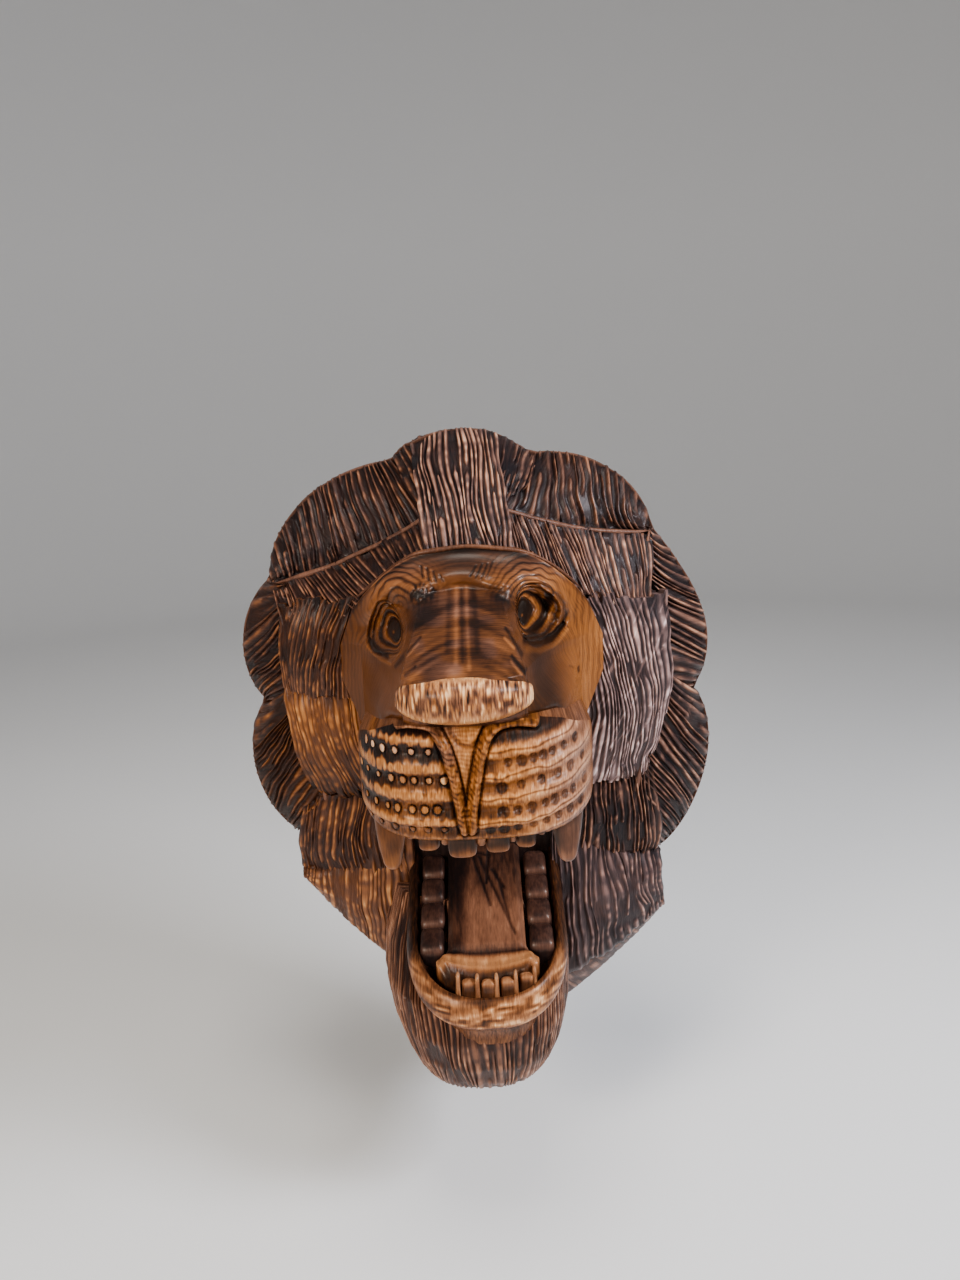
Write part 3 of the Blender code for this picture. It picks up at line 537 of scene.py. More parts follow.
def carved_lock(name, seed, floor):
    """Smooth lock surface minus depth times (1 - height of the hair), along the normal."""
    one = LOCKS[name]
    wide, long = lock_size(one)
    count = max(3, round(wide / one["pitch"]))
    v, across, strand = strand_columns(count, seed)
    u = np.linspace(0.0, 1.0, max(18, round(long / ROW_STEP)))[:, None]
    length = u * long
    sway = 1.4 * (hills(v * wide / 18.0, length / 34.0, seed + 5) - 0.5)
    sway = sway + 0.55 * (hills(v * count * 0.6, length / 19.0, seed + 9) - 0.5)
    vv = v + sway / count * (1.0 - np.abs(2.0 * v - 1.0) ** 4) + one["lean"] * (u - 0.5) * 4.0 * v * (1.0 - v)
    vv = np.clip(vv, 0.0, 1.0)
    stagger = np.random.default_rng(seed + 11).uniform(-1.0, 1.0, count)[strand] / long
    at_root, at_tip = one["ends"]
    top = lock_surface(one, u + stagger * (at_root * (1.0 - u) ** 5 + at_tip * u ** 5), vv)
    shake = hills(top[..., :1] / 12.0, top[..., 1:2] / 12.0, seed) - 0.5
    top[..., :2] += 2.0 * shake * smooth(28.0, 46.0, top[..., 2:]) * (1.0, -0.6)
    height, crest, rub = hair(length, across[None, :], strand[None, :], one["thin"], seed)
    edges = smooth(0.0, 0.05, u) * (1.0 - 0.45 * smooth(0.92, 1.0, u))
    normal = surface_normals(top)
    normal *= np.where(normal[..., 2:].mean() < 0, -1.0, 1.0)
    uneven = 1.1 * (hills(strand[None, :] * 0.77, length / 9.0, seed + 6) - 0.6)
    top = top + normal * ((height - 1.0) * one["depth"] * edges + uneven)[..., None]
    top[..., 2] -= 2.6 * smooth(0.93, 1.0, u) ** 2
    rubbed = smooth(0.35, 0.8, hills(v * wide / 20.0, length / 20.0, seed + 8))
    tone = lock_tone(one, height, crest, rub, rubbed, top, u, seed)
    grain = np.stack(np.broadcast_arrays(vv * wide, length, 10.0 * seed), axis=-1)
    return relief(top, tone, one["tint"] + 0.5 * (rub - 0.5), floor, taper=WALL_TAPER,
                  wall_tone=0.22 + 0.2 * one["tone"], grain=grain)


REGIONS = {
    "mane_crown": ("tuft_left", "tuft_right", "tuft", "crown_left", "crown_right", "under_crown_left",
                   "under_crown_right"),
    "mane_right": ("outer_right", "cheek_right", "lower_right", "jowl_right", "side_beard_right",
                   "edge_right"),
    "mane_left": ("outer_left", "temple_left", "cheek_left", "lower_left", "jowl_left", "side_beard_left"),
}
place_of = {name: k for k, name in enumerate(LOCKS)}
lock_bodies = {region: [carved_lock(name, 100 + 10 * place_of[name], 8.0 + 0.1 * place_of[name])
                        for name in names] for region, names in REGIONS.items()}
print({region: len(bodies) for region, bodies in lock_bodies.items()})

# %% [markdown]
# Thin raised lines part the locks: the carver left them standing as midribs. One more, over the forehead,
# is the hairline. Each is a half-round cord laid along the root edge of a lock, or along the hairline's
# points, and sunk into the wood. It is thicker here and thinner there.

# %% Midribs
def rib(path, half_wide, high, tone, tint, seed):
    """An oval ring carried along a path and drawn to a point at both ends."""
    path = curve_through(path, max(24, 5 * len(path)))
    step = np.gradient(path, axis=0)
    side = np.cross(step, (0.0, 0.0, 1.0))
    side /= np.linalg.norm(side, axis=1, keepdims=True)
    share = np.linspace(0.0, 1.0, len(path))
    uneven = 0.65 + 0.7 * hills(share * len(path) / 7.0, 0.5, seed)
    size = (1.0 - np.abs(2.0 * share - 1.0) ** 8) * uneven + 0.04
    angle = np.linspace(0.0, 2.0 * np.pi, 10, endpoint=False)
    rings = (path[:, None] + side[:, None] * (half_wide * size[:, None] * np.cos(angle))[..., None]
             + np.array([0.0, 0.0, 1.0]) * (high * size[:, None] * np.sin(angle))[..., None])
    shade = tone + 0.2 * (hills(share * len(path) / 3.0, 2.5, seed) - 0.5)
    return ring_body(rings, shade[:, None] - 0.25 * (np.sin(angle) < 0), tint)


def pushed_about(path, at, row, wobble, seed):
    """A path whose points are moved sideways by random hills, by half the wobble at most."""
    path[:, :2] += wobble * (np.column_stack([hills(at, row, seed), hills(at, row + 2.0, seed)]) - 0.5)
    return path


def root_line(name, end, up, seed):
    """A lock's root edge from 2% of its width to the end, lifted by up, in 14 points."""
    v = np.linspace(0.02, end, 14)
    return pushed_about(lock_surface(LOCKS[name], 0.0, v) + (0.0, 0.0, up), v * 6.0, 1.5, 2.0, seed)


RIBS = {"mane_crown": (("crown_right", 0.99, 0.6), ("crown_left", 0.99, 0.6)),
        "mane_right": (("outer_right", 0.98, 0.6), ("lower_right", 0.9, 0.6)),
        "mane_left": (("outer_left", 0.98, 0.3), ("lower_left", 0.9, 0.3))}
HAIRLINE = ((-66, 104, 93), (-58, 112, 98), (-46, 121.5, 103), (-32, 129, 107), (-16, 133, 109.5),
            (0, 134, 110.5), (16, 133.5, 109.5), (32, 129.5, 107), (46, 122, 103), (58, 112.5, 98),
            (66, 104, 93))
for region, ribs in RIBS.items():
    for k, (name, end, up) in enumerate(ribs):
        lock_bodies[region].append(rib(root_line(name, end, up, 40 + k), half_wide=1.5, high=1.7, tone=0.43,
                                       tint=0.5, seed=50 + k))
hairline = pushed_about(np.array(HAIRLINE, float), np.arange(len(HAIRLINE)) * 1.7, 0.5, 3.6, 71)
lock_bodies["mane_crown"].append(rib(hairline, half_wide=1.15, high=1.3, tone=0.36, tint=0.7, seed=72))
for region, bodies in lock_bodies.items():
    carve(region, bodies, mane_wood)

# %% [markdown]
# Behind the locks is the block itself: a flat back, a side wall that leans in a little towards the back,
# and a low dome that the locks grow out of. The back was sawn and never varnished, so it is dull and
# streaked.

# %% Outline and back block
RIM = (("tuft_left", 0.05, 0.45), ("tuft", 0.05, 0.78), ("tuft_right", 0.05, 0.75),
       ("crown_right", 0.05, 0.96), ("outer_right", 0.03, 0.93), ("lower_right", 0.02, 1.0),
       ("edge_right", 0.98, 0.0), ("side_beard_left", 0.0, 0.98), ("lower_left", 1.0, 0.04),
       ("outer_left", 0.96, 0.04), ("crown_left", 0.98, 0.06))
rim = np.vstack([lock_surface(LOCKS[name], 1.0, np.linspace(start, end, 40)) for name, start, end in RIM])
rim[:, 2] = np.clip(rim[:, 2] - 1.6, 22.0, 44.0)
BLOCK_LEVELS = ((0.5, 0.0), (0.93, 0.0), (0.975, 0.0), (0.978, 0.03), (0.981, 0.2), (0.985, 0.4),
                (0.989, 0.6), (0.993, 0.8), (0.997, 0.93), (0.994, 1.0), (0.975, 0.97), (0.95, 0.9))
DOME_LEVELS = ((0.88, 34.0), (0.72, 49.0), (0.45, 54.0))


def back_block(rim):
    """The rim scaled towards the middle, first at shares of its own height and then at the dome's heights.

    The first three rings are the flat back, and the next six are the wall, which random hills ripple.
    """
    rings = [np.column_stack([rim[:, :2] * shrink, rim[:, 2] * rise]) for shrink, rise in BLOCK_LEVELS]
    rings += [np.column_stack([rim[:, :2] * shrink, np.full(len(rim), high)]) for shrink, high in DOME_LEVELS]
    rings, level, around = np.array(rings), np.arange(len(rings))[:, None], np.arange(len(rim))
    out = rim[:, :2] / np.linalg.norm(rim[:, :2], axis=1, keepdims=True)
    ripple = 0.8 * (hills(around / 5.0, level / 1.5, 9) - 0.5)
    rings[..., :2] += out * (ripple * ((level > 2) & (level < 9)))[..., None]
    tone = 0.42 + 0.16 * (hills(around / 9.0, level / 2.0, 12) - 0.5)
    tone = np.where(level > 9, 0.08, np.where(level < 3, 0.44, tone))
    return ring_body(rings, tone, 0.45)


carve("back_block", [back_block(rim)], back_wood)

# %% [markdown]
# The face is the one smooth, varnished part. It is a height above the wall for every point across and
# down: a dome with two sockets, the bridge of the nose rising forward, and a shoulder into the muzzle.
# These are the solid's own formulas, and the finer carving comes after them.

# %% Height of the face
EYES = ((-43.0, 92.0, -22.0), (35.0, 95.0, 22.0))
EYE_BULGE = 5.0
NOSE_X = -4.0
MUZZLE_HALF_W = 63.0


def eye_distance(x, z):
    """Distance from the nearer eye, 1 on the edge of its tilted oval."""
    best = np.full(np.shape(x), 9.0)
    for ex, ez, tilt in EYES:
        c, s = np.cos(radians(tilt)), np.sin(radians(tilt))
        across, up = c * (x - ex) + s * (z - ez), c * (z - ez) - s * (x - ex)
        best = np.minimum(best, np.hypot(across / 8.5, up / 13.0))
    return best


def muzzle_plan(x):
    """Height of the muzzle seen from above: 128 at the sides and 203 in front, flat and then rounded."""
    return 128.0 + 75.0 * np.clip(1.0 - np.abs(x / (MUZZLE_HALF_W + 1.0)) ** 3.4, 0.0, 1.0) ** 0.42


def face_height(x, z):
    """Dome + brow ring - socket + swelling + bridge - crease + eye + shoulder down to the muzzle."""
    rise = 26.0 + 16.0 * smooth(134.0, 106.0, z)
    h = 84.0 + rise * (1.0 - np.minimum(np.abs(x) / 79.0, 1.0) ** 2.2)
    near = eye_distance(x, z) / 1.75
    h = h + 7.0 * smooth(-4.0, 10.0, z - 92.0) * np.exp(-((near - 1.05) / 0.32) ** 2)
    h = h - 9.0 * np.exp(-(near / 0.8) ** 2)
    q = np.clip((112.0 - z) / 32.0, 0.0, 1.0)
    half = 19.0 + 12.0 * q ** 0.8
    ax = np.abs(x - NOSE_X)
    arch = z - (113.0 - 0.012 * ax * ax)
    h = h + 5.0 * np.exp(-((arch - 8.0) / 6.0) ** 2) * np.exp(-(ax / 34.0) ** 4)
    out = np.clip((ax - half) / (76.0 - half), 0.0, 1.0)
    flank = 0.80 * (1.0 - out) ** (2.4 + 3.8 * smooth(78.0, 98.0, z))
    share = np.where(ax < half, 1.0 - 0.12 * (ax / half) ** 4, flank)
    h = h + (130.0 + 70.0 * q ** 1.12 - h) * share * smooth(118.0, 108.0, z)
    h = h - 4.0 * np.exp(-(arch / 3.0) ** 2) * np.exp(-(ax / 24.0) ** 4)
    h = h + EYE_BULGE * np.sqrt(np.clip(1.0 - eye_distance(x, z) ** 2, 0.0, 1.0))
    shoulder = smooth(76.0, 52.0, z) * (1.0 - np.clip(np.abs(x) / MUZZLE_HALF_W, 0.0, 1.0) ** 4)
    return h + np.maximum(muzzle_plan(x) - 14.0 - h, 0.0) * shoulder


print("tip of the bridge at", face_height(np.array(-4.0), np.array(80.0)).round(1), "mm")

# %% [markdown]
# The eyes are nested almonds cut with a small gouge: a dark ball close to the nose, and lids around it that
# lie close together there and spread out on the cheek. One number runs from 0 on the edge of the ball to 5
# on the outline of the almond. Two short tables then say how high and how dark the wood is at each number.

# %% Eyes
EYE_OUTLINES = {
    "left": dict(ball=(-41.0, 92.5), half=(3.7, 4.5), outward=-1.0,
                 almond=((13.1, 6.9), (10.5, 12.0), (6.8, 13.9), (1.5, 11.8), (-1.7, 8.4), (-5.2, 2.5),
                         (-5.8, -2.4), (-2.8, -7.5), (2.7, -10.0), (9.0, -12.8), (15.0, -13.2), (18.2, -9.0),
                         (16.8, -2.0))),
    "right": dict(ball=(29.5, 99.6), half=(3.3, 5.8), outward=1.0,
                  almond=((20.5, 6.5), (15.0, 11.5), (8.0, 13.6), (1.0, 13.2), (-3.0, 9.5), (-4.8, 3.0),
                          (-5.0, -4.0), (-1.0, -11.5), (6.0, -15.6), (14.7, -17.4), (22.5, -14.5),
                          (25.8, -6.5), (24.5, 1.0))),
}
LID_NUMBER = (-4.0, -0.4, 0.0, 0.4, 0.9, 1.4, 1.8, 2.2, 2.7, 3.2, 3.6, 4.1, 4.7, 5.3, 6.2)
LID_HEIGHT = (1.6, 0.9, -0.2, -1.1, 0.8, 0.3, -1.3, -0.9, 0.8, 0.7, -0.7, 0.6, -1.1, 0.6, 0.0)
LID_SHADE = (-0.50, -0.46, -0.40, -0.22, 0.14, 0.00, -0.32, -0.32, 0.06, 0.02, -0.20, 0.06, -0.16, 0.08, 0.0)


def lid_number(x, z, eye):
    """5 (distance - ball) / (almond - ball), both measured from the ball's middle in the same direction."""
    a, b = eye["outward"] * (x - eye["ball"][0]), z - eye["ball"][1]
    line = curve_through(eye["almond"] + eye["almond"][:1], 120)
    turn = np.arctan2(line[:, 1], line[:, 0])
    order = np.argsort(turn)
    angle, far = np.arctan2(b, a), np.hypot(a, b)
    almond = np.interp(angle, turn[order], np.hypot(line[:, 0], line[:, 1])[order], period=2.0 * np.pi)
    ball = 1.0 / np.hypot(np.cos(angle) / eye["half"][0], np.sin(angle) / eye["half"][1])
    return 5.0 * (far - ball) / np.maximum(almond - ball, 1.2), angle


def eye_carving(x, z):
    """Height and shade of both eyes; the almond's lower outer groove is the deepest and darkest."""
    cut, shade = np.zeros(x.shape), np.zeros(x.shape)
    for eye in EYE_OUTLINES.values():
        k, angle = lid_number(x, z, eye)
        k = k + 0.35 * (hills(x / 3.0, z / 3.0, 25) - 0.5)
        low = np.cos(np.clip(angle + radians(50.0), -np.pi, np.pi)) * (k > 3.8)
        deeper = 1.0 + 0.6 * np.clip(low, -0.6, 1.0) * (k < 5.4)
        cut = cut + np.interp(k, LID_NUMBER, LID_HEIGHT) * deeper
        tone = np.interp(k, LID_NUMBER, LID_SHADE)
        shade = shade + np.where(tone < 0, tone * (1.0 + 0.8 * np.clip(low, -0.7, 1.0)), tone)
        glint = np.hypot(x - eye["ball"][0] + 1.2, z - eye["ball"][1] + 1.6) / 1.1
        shade = shade + 0.5 * smooth(1.0, 0.4, glint)
    return cut, shade


temple = lid_number(np.array(-58.0), np.array(88.0), EYE_OUTLINES["left"])[0]
print("lid number at the left temple:", temple.round(2))

# %% [markdown]
# Small cuts give the face its temper: two light stripes down the bridge, notches beside it, a scorched
# patch and short hairs between the brows, bags under the eyes and one nick in the right cheek. Each is a
# curve through a few points, with a width, a depth and a change of tone.

# %% Cuts and stripes on the face
FACE_CUTS = (
    (((-6.6, 113), (-6.9, 100), (-7.3, 86)), 2.2, 0.25, 0.20),
    (((-1.2, 113), (-1.2, 100), (-0.9, 84)), 2.0, 0.25, 0.20),
    (((-10.5, 112), (-11.0, 99), (-11.5, 90)), 2.6, -0.1, -0.14),
    (((2.6, 112), (3.2, 99), (3.6, 90)), 2.6, -0.1, -0.14),
    (((-4.0, 112), (-4.1, 96), (-4.1, 86)), 1.2, -0.15, -0.10),
    (((-25.5, 94.5), (-32.0, 88.5), (-39.0, 80.5)), 1.2, -0.8, -0.22),
    (((-26.5, 92.5), (-33.5, 86.5)), 1.0, 0.3, 0.20), (((-27.5, 84.5), (-32.5, 81.5)), 1.2, -0.8, -0.25),
    (((18.5, 96.5), (22.0, 91.5), (26.0, 85.0)), 1.2, -0.9, -0.25),
    (((17.6, 93.0), (22.0, 89.0)), 1.1, 0.4, 0.30), (((20.5, 86.5), (27.0, 79.5)), 1.3, -0.9, -0.28),
    (((19.8, 84.8), (24.5, 80.0)), 1.0, 0.4, 0.28),
    (((-57.0, 83.5), (-51.0, 80.6), (-44.5, 81.8)), 1.6, -1.3, -0.38),
    (((-58.5, 80.8), (-51.0, 77.6), (-42.5, 79.6)), 1.5, 0.5, 0.16),
    (((28.7, 88.6), (36.0, 84.6), (45.0, 83.4), (52.5, 87.0)), 2.3, -1.9, -0.48),
    (((44.5, 105.0), (43.6, 98.5), (39.5, 92.0), (33.0, 88.5)), 3.6, -1.3, -0.42),
    (((47.0, 99.5), (44.0, 92.0)), 1.2, 0.5, 0.20),
    (((29.0, 85.0), (37.0, 81.2), (46.5, 79.8), (55.0, 84.0)), 1.6, 0.5, 0.14),
    (((-26.0, 124.5), (-25.0, 119.0)), 0.8, -0.6, -0.30),
    (((-22.5, 123.5), (-21.5, 118.0)), 0.8, -0.6, -0.28),
    (((-19.0, 122.0), (-17.5, 117.0)), 0.8, -0.6, -0.26),
    (((-15.5, 120.5), (-13.5, 117.0)), 0.8, -0.5, -0.22), (((-24.2, 124.0), (-23.2, 118.5)), 0.7, 0.4, 0.22),
    (((-20.6, 122.6), (-19.4, 117.5)), 0.7, 0.4, 0.20), (((1.0, 119.0), (4.5, 124.0)), 0.9, -0.6, -0.26),
    (((4.0, 118.0), (8.0, 124.5)), 0.9, -0.6, -0.26), (((7.0, 117.5), (11.0, 124.5)), 0.9, -0.6, -0.24),
    (((10.0, 118.0), (14.0, 125.0)), 0.9, -0.5, -0.22), (((60.4, 61.6), (60.6, 59.4)), 1.4, -1.8, -0.45),
    (((54.0, 66.5), (57.0, 64.0)), 0.8, -0.4, -0.14), (((57.0, 57.5), (63.0, 53.0)), 0.7, -0.3, -0.10),
)


def brow_curl(x, z):
    """Distance from the middle of the nearer brow, so that its rings are nested arcs above the eye."""
    return np.minimum(np.hypot((x + 38.0) / 1.15, z - 105.0), np.hypot((x - 35.0) / 1.05, z - 104.0))


def growth_rings(h, x, z, spacing, seed):
    """Thin dark lines where the depth, bent by random hills, passes a whole number of spacings."""
    at = (h + 7.0 * hills(x / 21.0, z / 15.0, seed) + 1.6 * hills(x / 5.0, z / 4.0, seed + 1)) / spacing
    return (0.5 + 0.5 * np.cos(2.0 * np.pi * at)) ** 2


def face_regions(x, z):
    """Where each region lies, from 0 to 1: S curves across times S curves down, and ovals for the brows."""
    ax, forehead = np.abs(x - NOSE_X), smooth(114.0, 128.0, z)
    return dict(
        forehead=forehead, bridge=smooth(36.0, 20.0, ax) * smooth(117.0, 107.0, z),
        brows=np.exp(-((np.abs(np.abs(x + 4.0) - 38.0) / 19.0) ** 2.4 + (np.abs(z - 117.0) / 11.0) ** 2.4)),
        cheek=smooth(48.0, 66.0, np.abs(x)) * smooth(120.0, 100.0, z),
        right=smooth(0.0, 55.0, x) * (1.0 - forehead),
        shaded_hollow=(smooth(26.0, 38.0, ax) * smooth(62.0, 44.0, ax) * smooth(94.0, 82.0, z)
                * smooth(34.0, 46.0, z)))


def face_tone(x, z, h, curls, forehead, bridge, brows, cheek, right, shaded_hollow):
    """One tone with a step for each region, minus the growth rings, plus streaks across the bridge."""
    ax = np.abs(x - NOSE_X)
    # Painted light makes the right half up to 0.12 lighter, and on the next line painted shade takes up to
    # 0.11 off the far left.
    tone = 0.43 - 0.20 * forehead + 0.15 * brows + 0.12 * right - 0.17 * bridge
    tone = tone - 0.11 * smooth(50.0, 76.0, -x) + 0.05 * smooth(96.0, 70.0, z) * (1.0 - bridge)
    # Painted shade in the hollows under the eyes, deeper on the right.
    tone = tone - (0.14 + 0.25 * smooth(0.0, 20.0, x)) * shaded_hollow - 0.03 * smooth(2.1, 1.3, eye_distance(x, z))
    # Painted shade in the creases along both sides of the bridge.
    tone = tone - 0.20 * bridge * np.exp(-((ax - 19.0) / 9.0) ** 2) * smooth(92.0, 104.0, z)
    tone = tone + 0.16 * smooth(-0.5, 1.0, np.cos(x / 3.4 + 2.0)) * bridge * smooth(86.0, 82.0, z)
    tone = tone - 0.40 * brows * curls - (0.05 + 0.08 * cheek) * growth_rings(h, x, z, 3.9, 21)
    tone = tone - (0.04 + 0.05 * bridge + 0.09 * right) * growth_rings(h, x, z, 1.7, 26)
    arc = z + 0.012 * ax ** 2
    streak = 0.6 * hills(x / 22.0, arc / 1.5, 28) + 0.4 * hills(x / 13.0, arc / 4.5, 30) - 0.5
    return tone + 0.42 * streak * bridge + 0.16 * (hills(x / 11.0, z / 26.0, 29) - 0.5)


def face_carving(x, z, h):
    """Tone, tint and added relief: the regions first, then eyes, cuts, the rough patch and the light rim."""
    at = face_regions(x, z)
    curls = growth_rings(brow_curl(x, z), x, z, 2.9, 24) ** 1.5
    tone = face_tone(x, z, h, curls, **at)
    mottle = 0.16 + 0.30 * smooth(0.35, 0.75, hills(x / 9.0, z / 4.0, 22))
    tint = 1.0 - 0.30 * at["forehead"] - mottle * at["bridge"] - 0.15 * at["brows"]
    cut, shade = eye_carving(x, z)
    for points, width, raised, lighter in FACE_CUTS:
        close = stroke(x, z, points, width)
        cut = cut + raised * close
        tone = tone + lighter * close
    tone = np.maximum(tone + shade, 0.02)
    tuft = smooth(1.0, 0.6, np.hypot((x + 25.0) / 9.0, (z - 112.5) / 5.5))
    rough = hills(x / 1.2, z / 1.4, 23) - 0.5
    cut = cut + 1.3 * rough * tuft
    tone = tone + tuft * (0.75 * rough - 0.16)
    # Along the top edge: a band of painted shade under the overhanging hair, then a lighter line on the rim
    # itself.
    edge = 134.0 - 37.0 * np.minimum(np.abs(x) / 70.0, 1.0) ** 2.6 - z
    tone = tone - 0.16 * smooth(5.0, 1.5, edge) + 0.34 * smooth(1.6, 0.4, edge)
    return cut - 0.3 * curls * at["brows"], tone, np.clip(tint, 0.1, 1.0)


def face_grid(rows, cols):
    """x = t times the half width at s, z from hairline to foot; both grow coarser away from the eyes."""
    down, across = np.linspace(0.0, 1.0, rows), np.linspace(0.0, 1.0, cols)
    s = np.interp(down, (0.0, 0.62, 0.8, 1.0), (0.0, 0.42, 0.58, 1.0))
    t = np.interp(across, (0.0, 0.07, 0.35, 0.62, 0.92, 1.0), (-1.0, -0.82, -0.40, 0.30, 0.78, 1.0))
    ss, tt = np.meshgrid(s, t, indexing="ij")
    x = tt * np.interp(ss, (0.0, 0.3, 0.6, 1.0), (69.0, 78.0, 78.0, 63.0))
    top, foot = 134.0 - 37.0 * np.abs(tt) ** 2.6, 8.0 + 18.0 * tt ** 2
    z = top + (foot - top) * ss
    h = face_height(x, z)
    cut, tone, tint = face_carving(x, z, h)
    sunk = 12.0 * smooth(60.0, 50.0, z) * smooth(50.0, 40.0, np.abs(x))
    return relief(np.stack([x, z, h + cut - sunk], axis=-1), tone, tint, floor=12.0)


carve("face", [face_grid(290, 320)], face_wood)

# %% [markdown]
# The muzzle is a box with rounded sides. Its plan is walked at an even pace, so that the grid is as fine
# round the corners as in front. Two ropes part it: they run down from the nose and meet at the mouth, and
# the wedge of bare wood lies between them.

# %% Places on the muzzle
LEFT_ROPE = ((-38.0, 57.0), (-30.5, 58.0), (-20.5, 56.5), (-15.7, 49.5), (-12.7, 40.5), (-10.0, 27.0),
             (-8.0, 14.0), (-6.4, 3.0))
RIGHT_ROPE = ((30.0, 56.5), (21.5, 57.5), (12.5, 56.5), (7.0, 52.5), (3.4, 45.0), (0.2, 31.0), (-2.4, 16.0),
              (-3.6, 3.0))


def muzzle_places(rows, cols):
    """Pace along the plan, x at even steps of it, z from 58 down to -4, and b, the same way from 1 to -1."""
    fine = np.linspace(-MUZZLE_HALF_W, MUZZLE_HALF_W, 4001)
    walked = np.concatenate([[0.0], np.cumsum(np.hypot(np.diff(fine), np.diff(muzzle_plan(fine))))])
    pace = np.linspace(0.0, walked[-1], cols)
    x, b = np.interp(pace, walked, fine), np.linspace(1.0, -1.0, rows)[:, None]
    corner = (np.abs(x) / MUZZLE_HALF_W) ** 4
    z = 27.0 + 31.0 * b - corner * np.where(b > 0, 17.0, -6.0) * np.abs(b) ** 1.5
    return np.broadcast_arrays(pace, x, z, b)


def wedge_and_ropes(x, z):
    """Distance to the nearer rope, x of both ropes at each height, and the wedge, 1 between them."""
    ropes = [curve_through(rope, 60) for rope in (LEFT_ROPE, RIGHT_ROPE)]
    gap = np.minimum(line_distance(x, z, ropes[0]), line_distance(x, z, ropes[1]))
    left, right = (np.interp(z, rope[::-1, 1], rope[::-1, 0]) for rope in ropes)
    return gap, left, right, smooth(0.0, 1.5, x - left) * smooth(0.0, 1.5, right - x) * smooth(-4.0, 2.0, z)


print("walk round the muzzle:", muzzle_places(2, 3)[0][0, -1].round(1), "mm")

# %% [markdown]
# Four bands of whiskers are waves from top to bottom. A number that grows by 1 from each crest to the next
# valley, and on to the next crest, gives the wave. The valleys were hatched upright with a hot tool, more on
# the left than on the right, and on the right a thin dark line follows each crest.

# %% Bands of whiskers
LEFT_BANDS = (-4.0, 3.5, 8.0, 15.0, 22.5, 30.2, 36.5, 44.5, 50.5, 55.0)
RIGHT_BANDS = (-4.0, 2.6, 7.0, 12.0, 19.5, 25.0, 31.5, 37.0, 43.5, 49.5)
RIGHT_CLIMB = 0.0027
HALVES_MEET = -5.0


def whisker_bands(x, z, pace, h, bands, far_side):
    """Height, tone and tint: a cosine wave of the band number, plus hatching: hills drawn out upwards."""
    level = z - RIGHT_CLIMB * np.maximum(x, 0.0) ** 2 + 1.6 * (hills(x / 14.0, z / 14.0, 31) - 0.5)
    steps = np.arange(len(LEFT_BANDS), 0.0, -1.0) - 1.0
    number = np.where(x < HALVES_MEET, np.interp(level, LEFT_BANDS, steps),
                      np.interp(level, RIGHT_BANDS, steps))
    valley = 0.5 * (1.0 + np.cos(np.pi * number))
    hatch = 0.65 * hills(pace / 1.3, z / 6.0, 32) + 0.35 * hills(pace / 2.9, z / 4.0, 37) - 0.5
    h = h - 2.8 * valley ** 1.3 * bands * (1.0 - far_side) + 0.55 * hatch * bands
    char_left = np.interp(z, (2.0, 14.0, 29.0, 42.0), (0.36, 0.46, 0.48, 0.76))
    char_left = char_left + 0.36 * smooth(-33.0, -43.0, x) * smooth(8.0, 22.0, z)
    char_left = char_left + 0.20 * smooth(-24.0, -14.0, x)
    char_right = 0.27 + 0.24 * smooth(26.0, 6.0, x) + 0.50 * smooth(45.5, 49.0, level)
    char = np.where(x < HALVES_MEET, char_left, char_right) + 0.30 * (hills(x / 7.0, z / 5.0, 38) - 0.5)
    low = smooth(0.02, 0.60, valley + 1.25 * hatch)
    # Painted light: the right half of the muzzle is 0.06 lighter.
    tone = 0.78 + 0.06 * (x > 0.0) - 0.92 * char * low + 0.62 * hatch * (1.0 - 0.6 * low)
    off_crest = np.abs((number + 0.35 * (hills(x / 6.0, z / 5.0, 39) - 0.5)) % 2.0 - 1.0)
    left = smooth(0.0, -8.0, x - HALVES_MEET)
    tone = tone - 0.34 * np.exp(-(off_crest / 0.10) ** 2) * (1.0 - left) * bands
    tint = 1.0 - 0.35 * smooth(15.0, 50.0, x) * bands * (1.0 - far_side)
    return h, tone, tint - 0.3 * low * left * smooth(24.0, 40.0, z)


print("bands on the left at", LEFT_BANDS[1::2], "and on the right at", RIGHT_BANDS[1::2])

# %% [markdown]
# The whisker dots sit in the valleys. On the left they stand up as pips with a dark ring round each, and on
# the right they were punched in as pits. Where the muzzle bends back they are drawn narrower.

# %% Whisker dots
LEFT_DOTS = ((44.8, (-22.6, -31.2, -39.5, -46.1, -51.5, -55.6)),
             (30.2, (-15.6, -23.1, -30.5, -36.2, -42.3, -49.2, -55.5, -60.0)),
             (15.0, (-19.7, -26.0, -32.3, -39.9, -45.0, -51.5, -57.2, -61.0)),
             (4.2, (-16.8, -25.2, -32.8, -41.9, -49.5, -56.0)))
RIGHT_DOTS = ((37.4, (16.0, 22.7, 28.4, 33.4, 38.2, 44.2, 50.5)),
              (25.0, (12.4, 22.0, 32.2, 40.6, 47.4, 54.5)),
              (12.0, (12.8, 20.1, 26.8, 34.0, 38.7, 44.0, 48.5, 55.5)),
              (2.6, (6.0, 12.9, 19.8, 27.6, 34.2, 40.5, 46.7, 53.0)))


def one_dot(x, z, place, level):
    """Dot: 1 in its middle and 0 from 1.9 mm on. Ring: 1 at 2.2 mm from the middle."""
    squash = np.maximum(0.42, np.cos(np.abs(place) / 58.0))
    far = np.hypot((x - place) / squash, z - level) / (1.0 + 0.16 * np.sin(3.1 * place))
    return np.clip(1.0 - (far / 1.9) ** 2, 0.0, 1.0), np.exp(-((far - 2.2) / 0.6) ** 2)


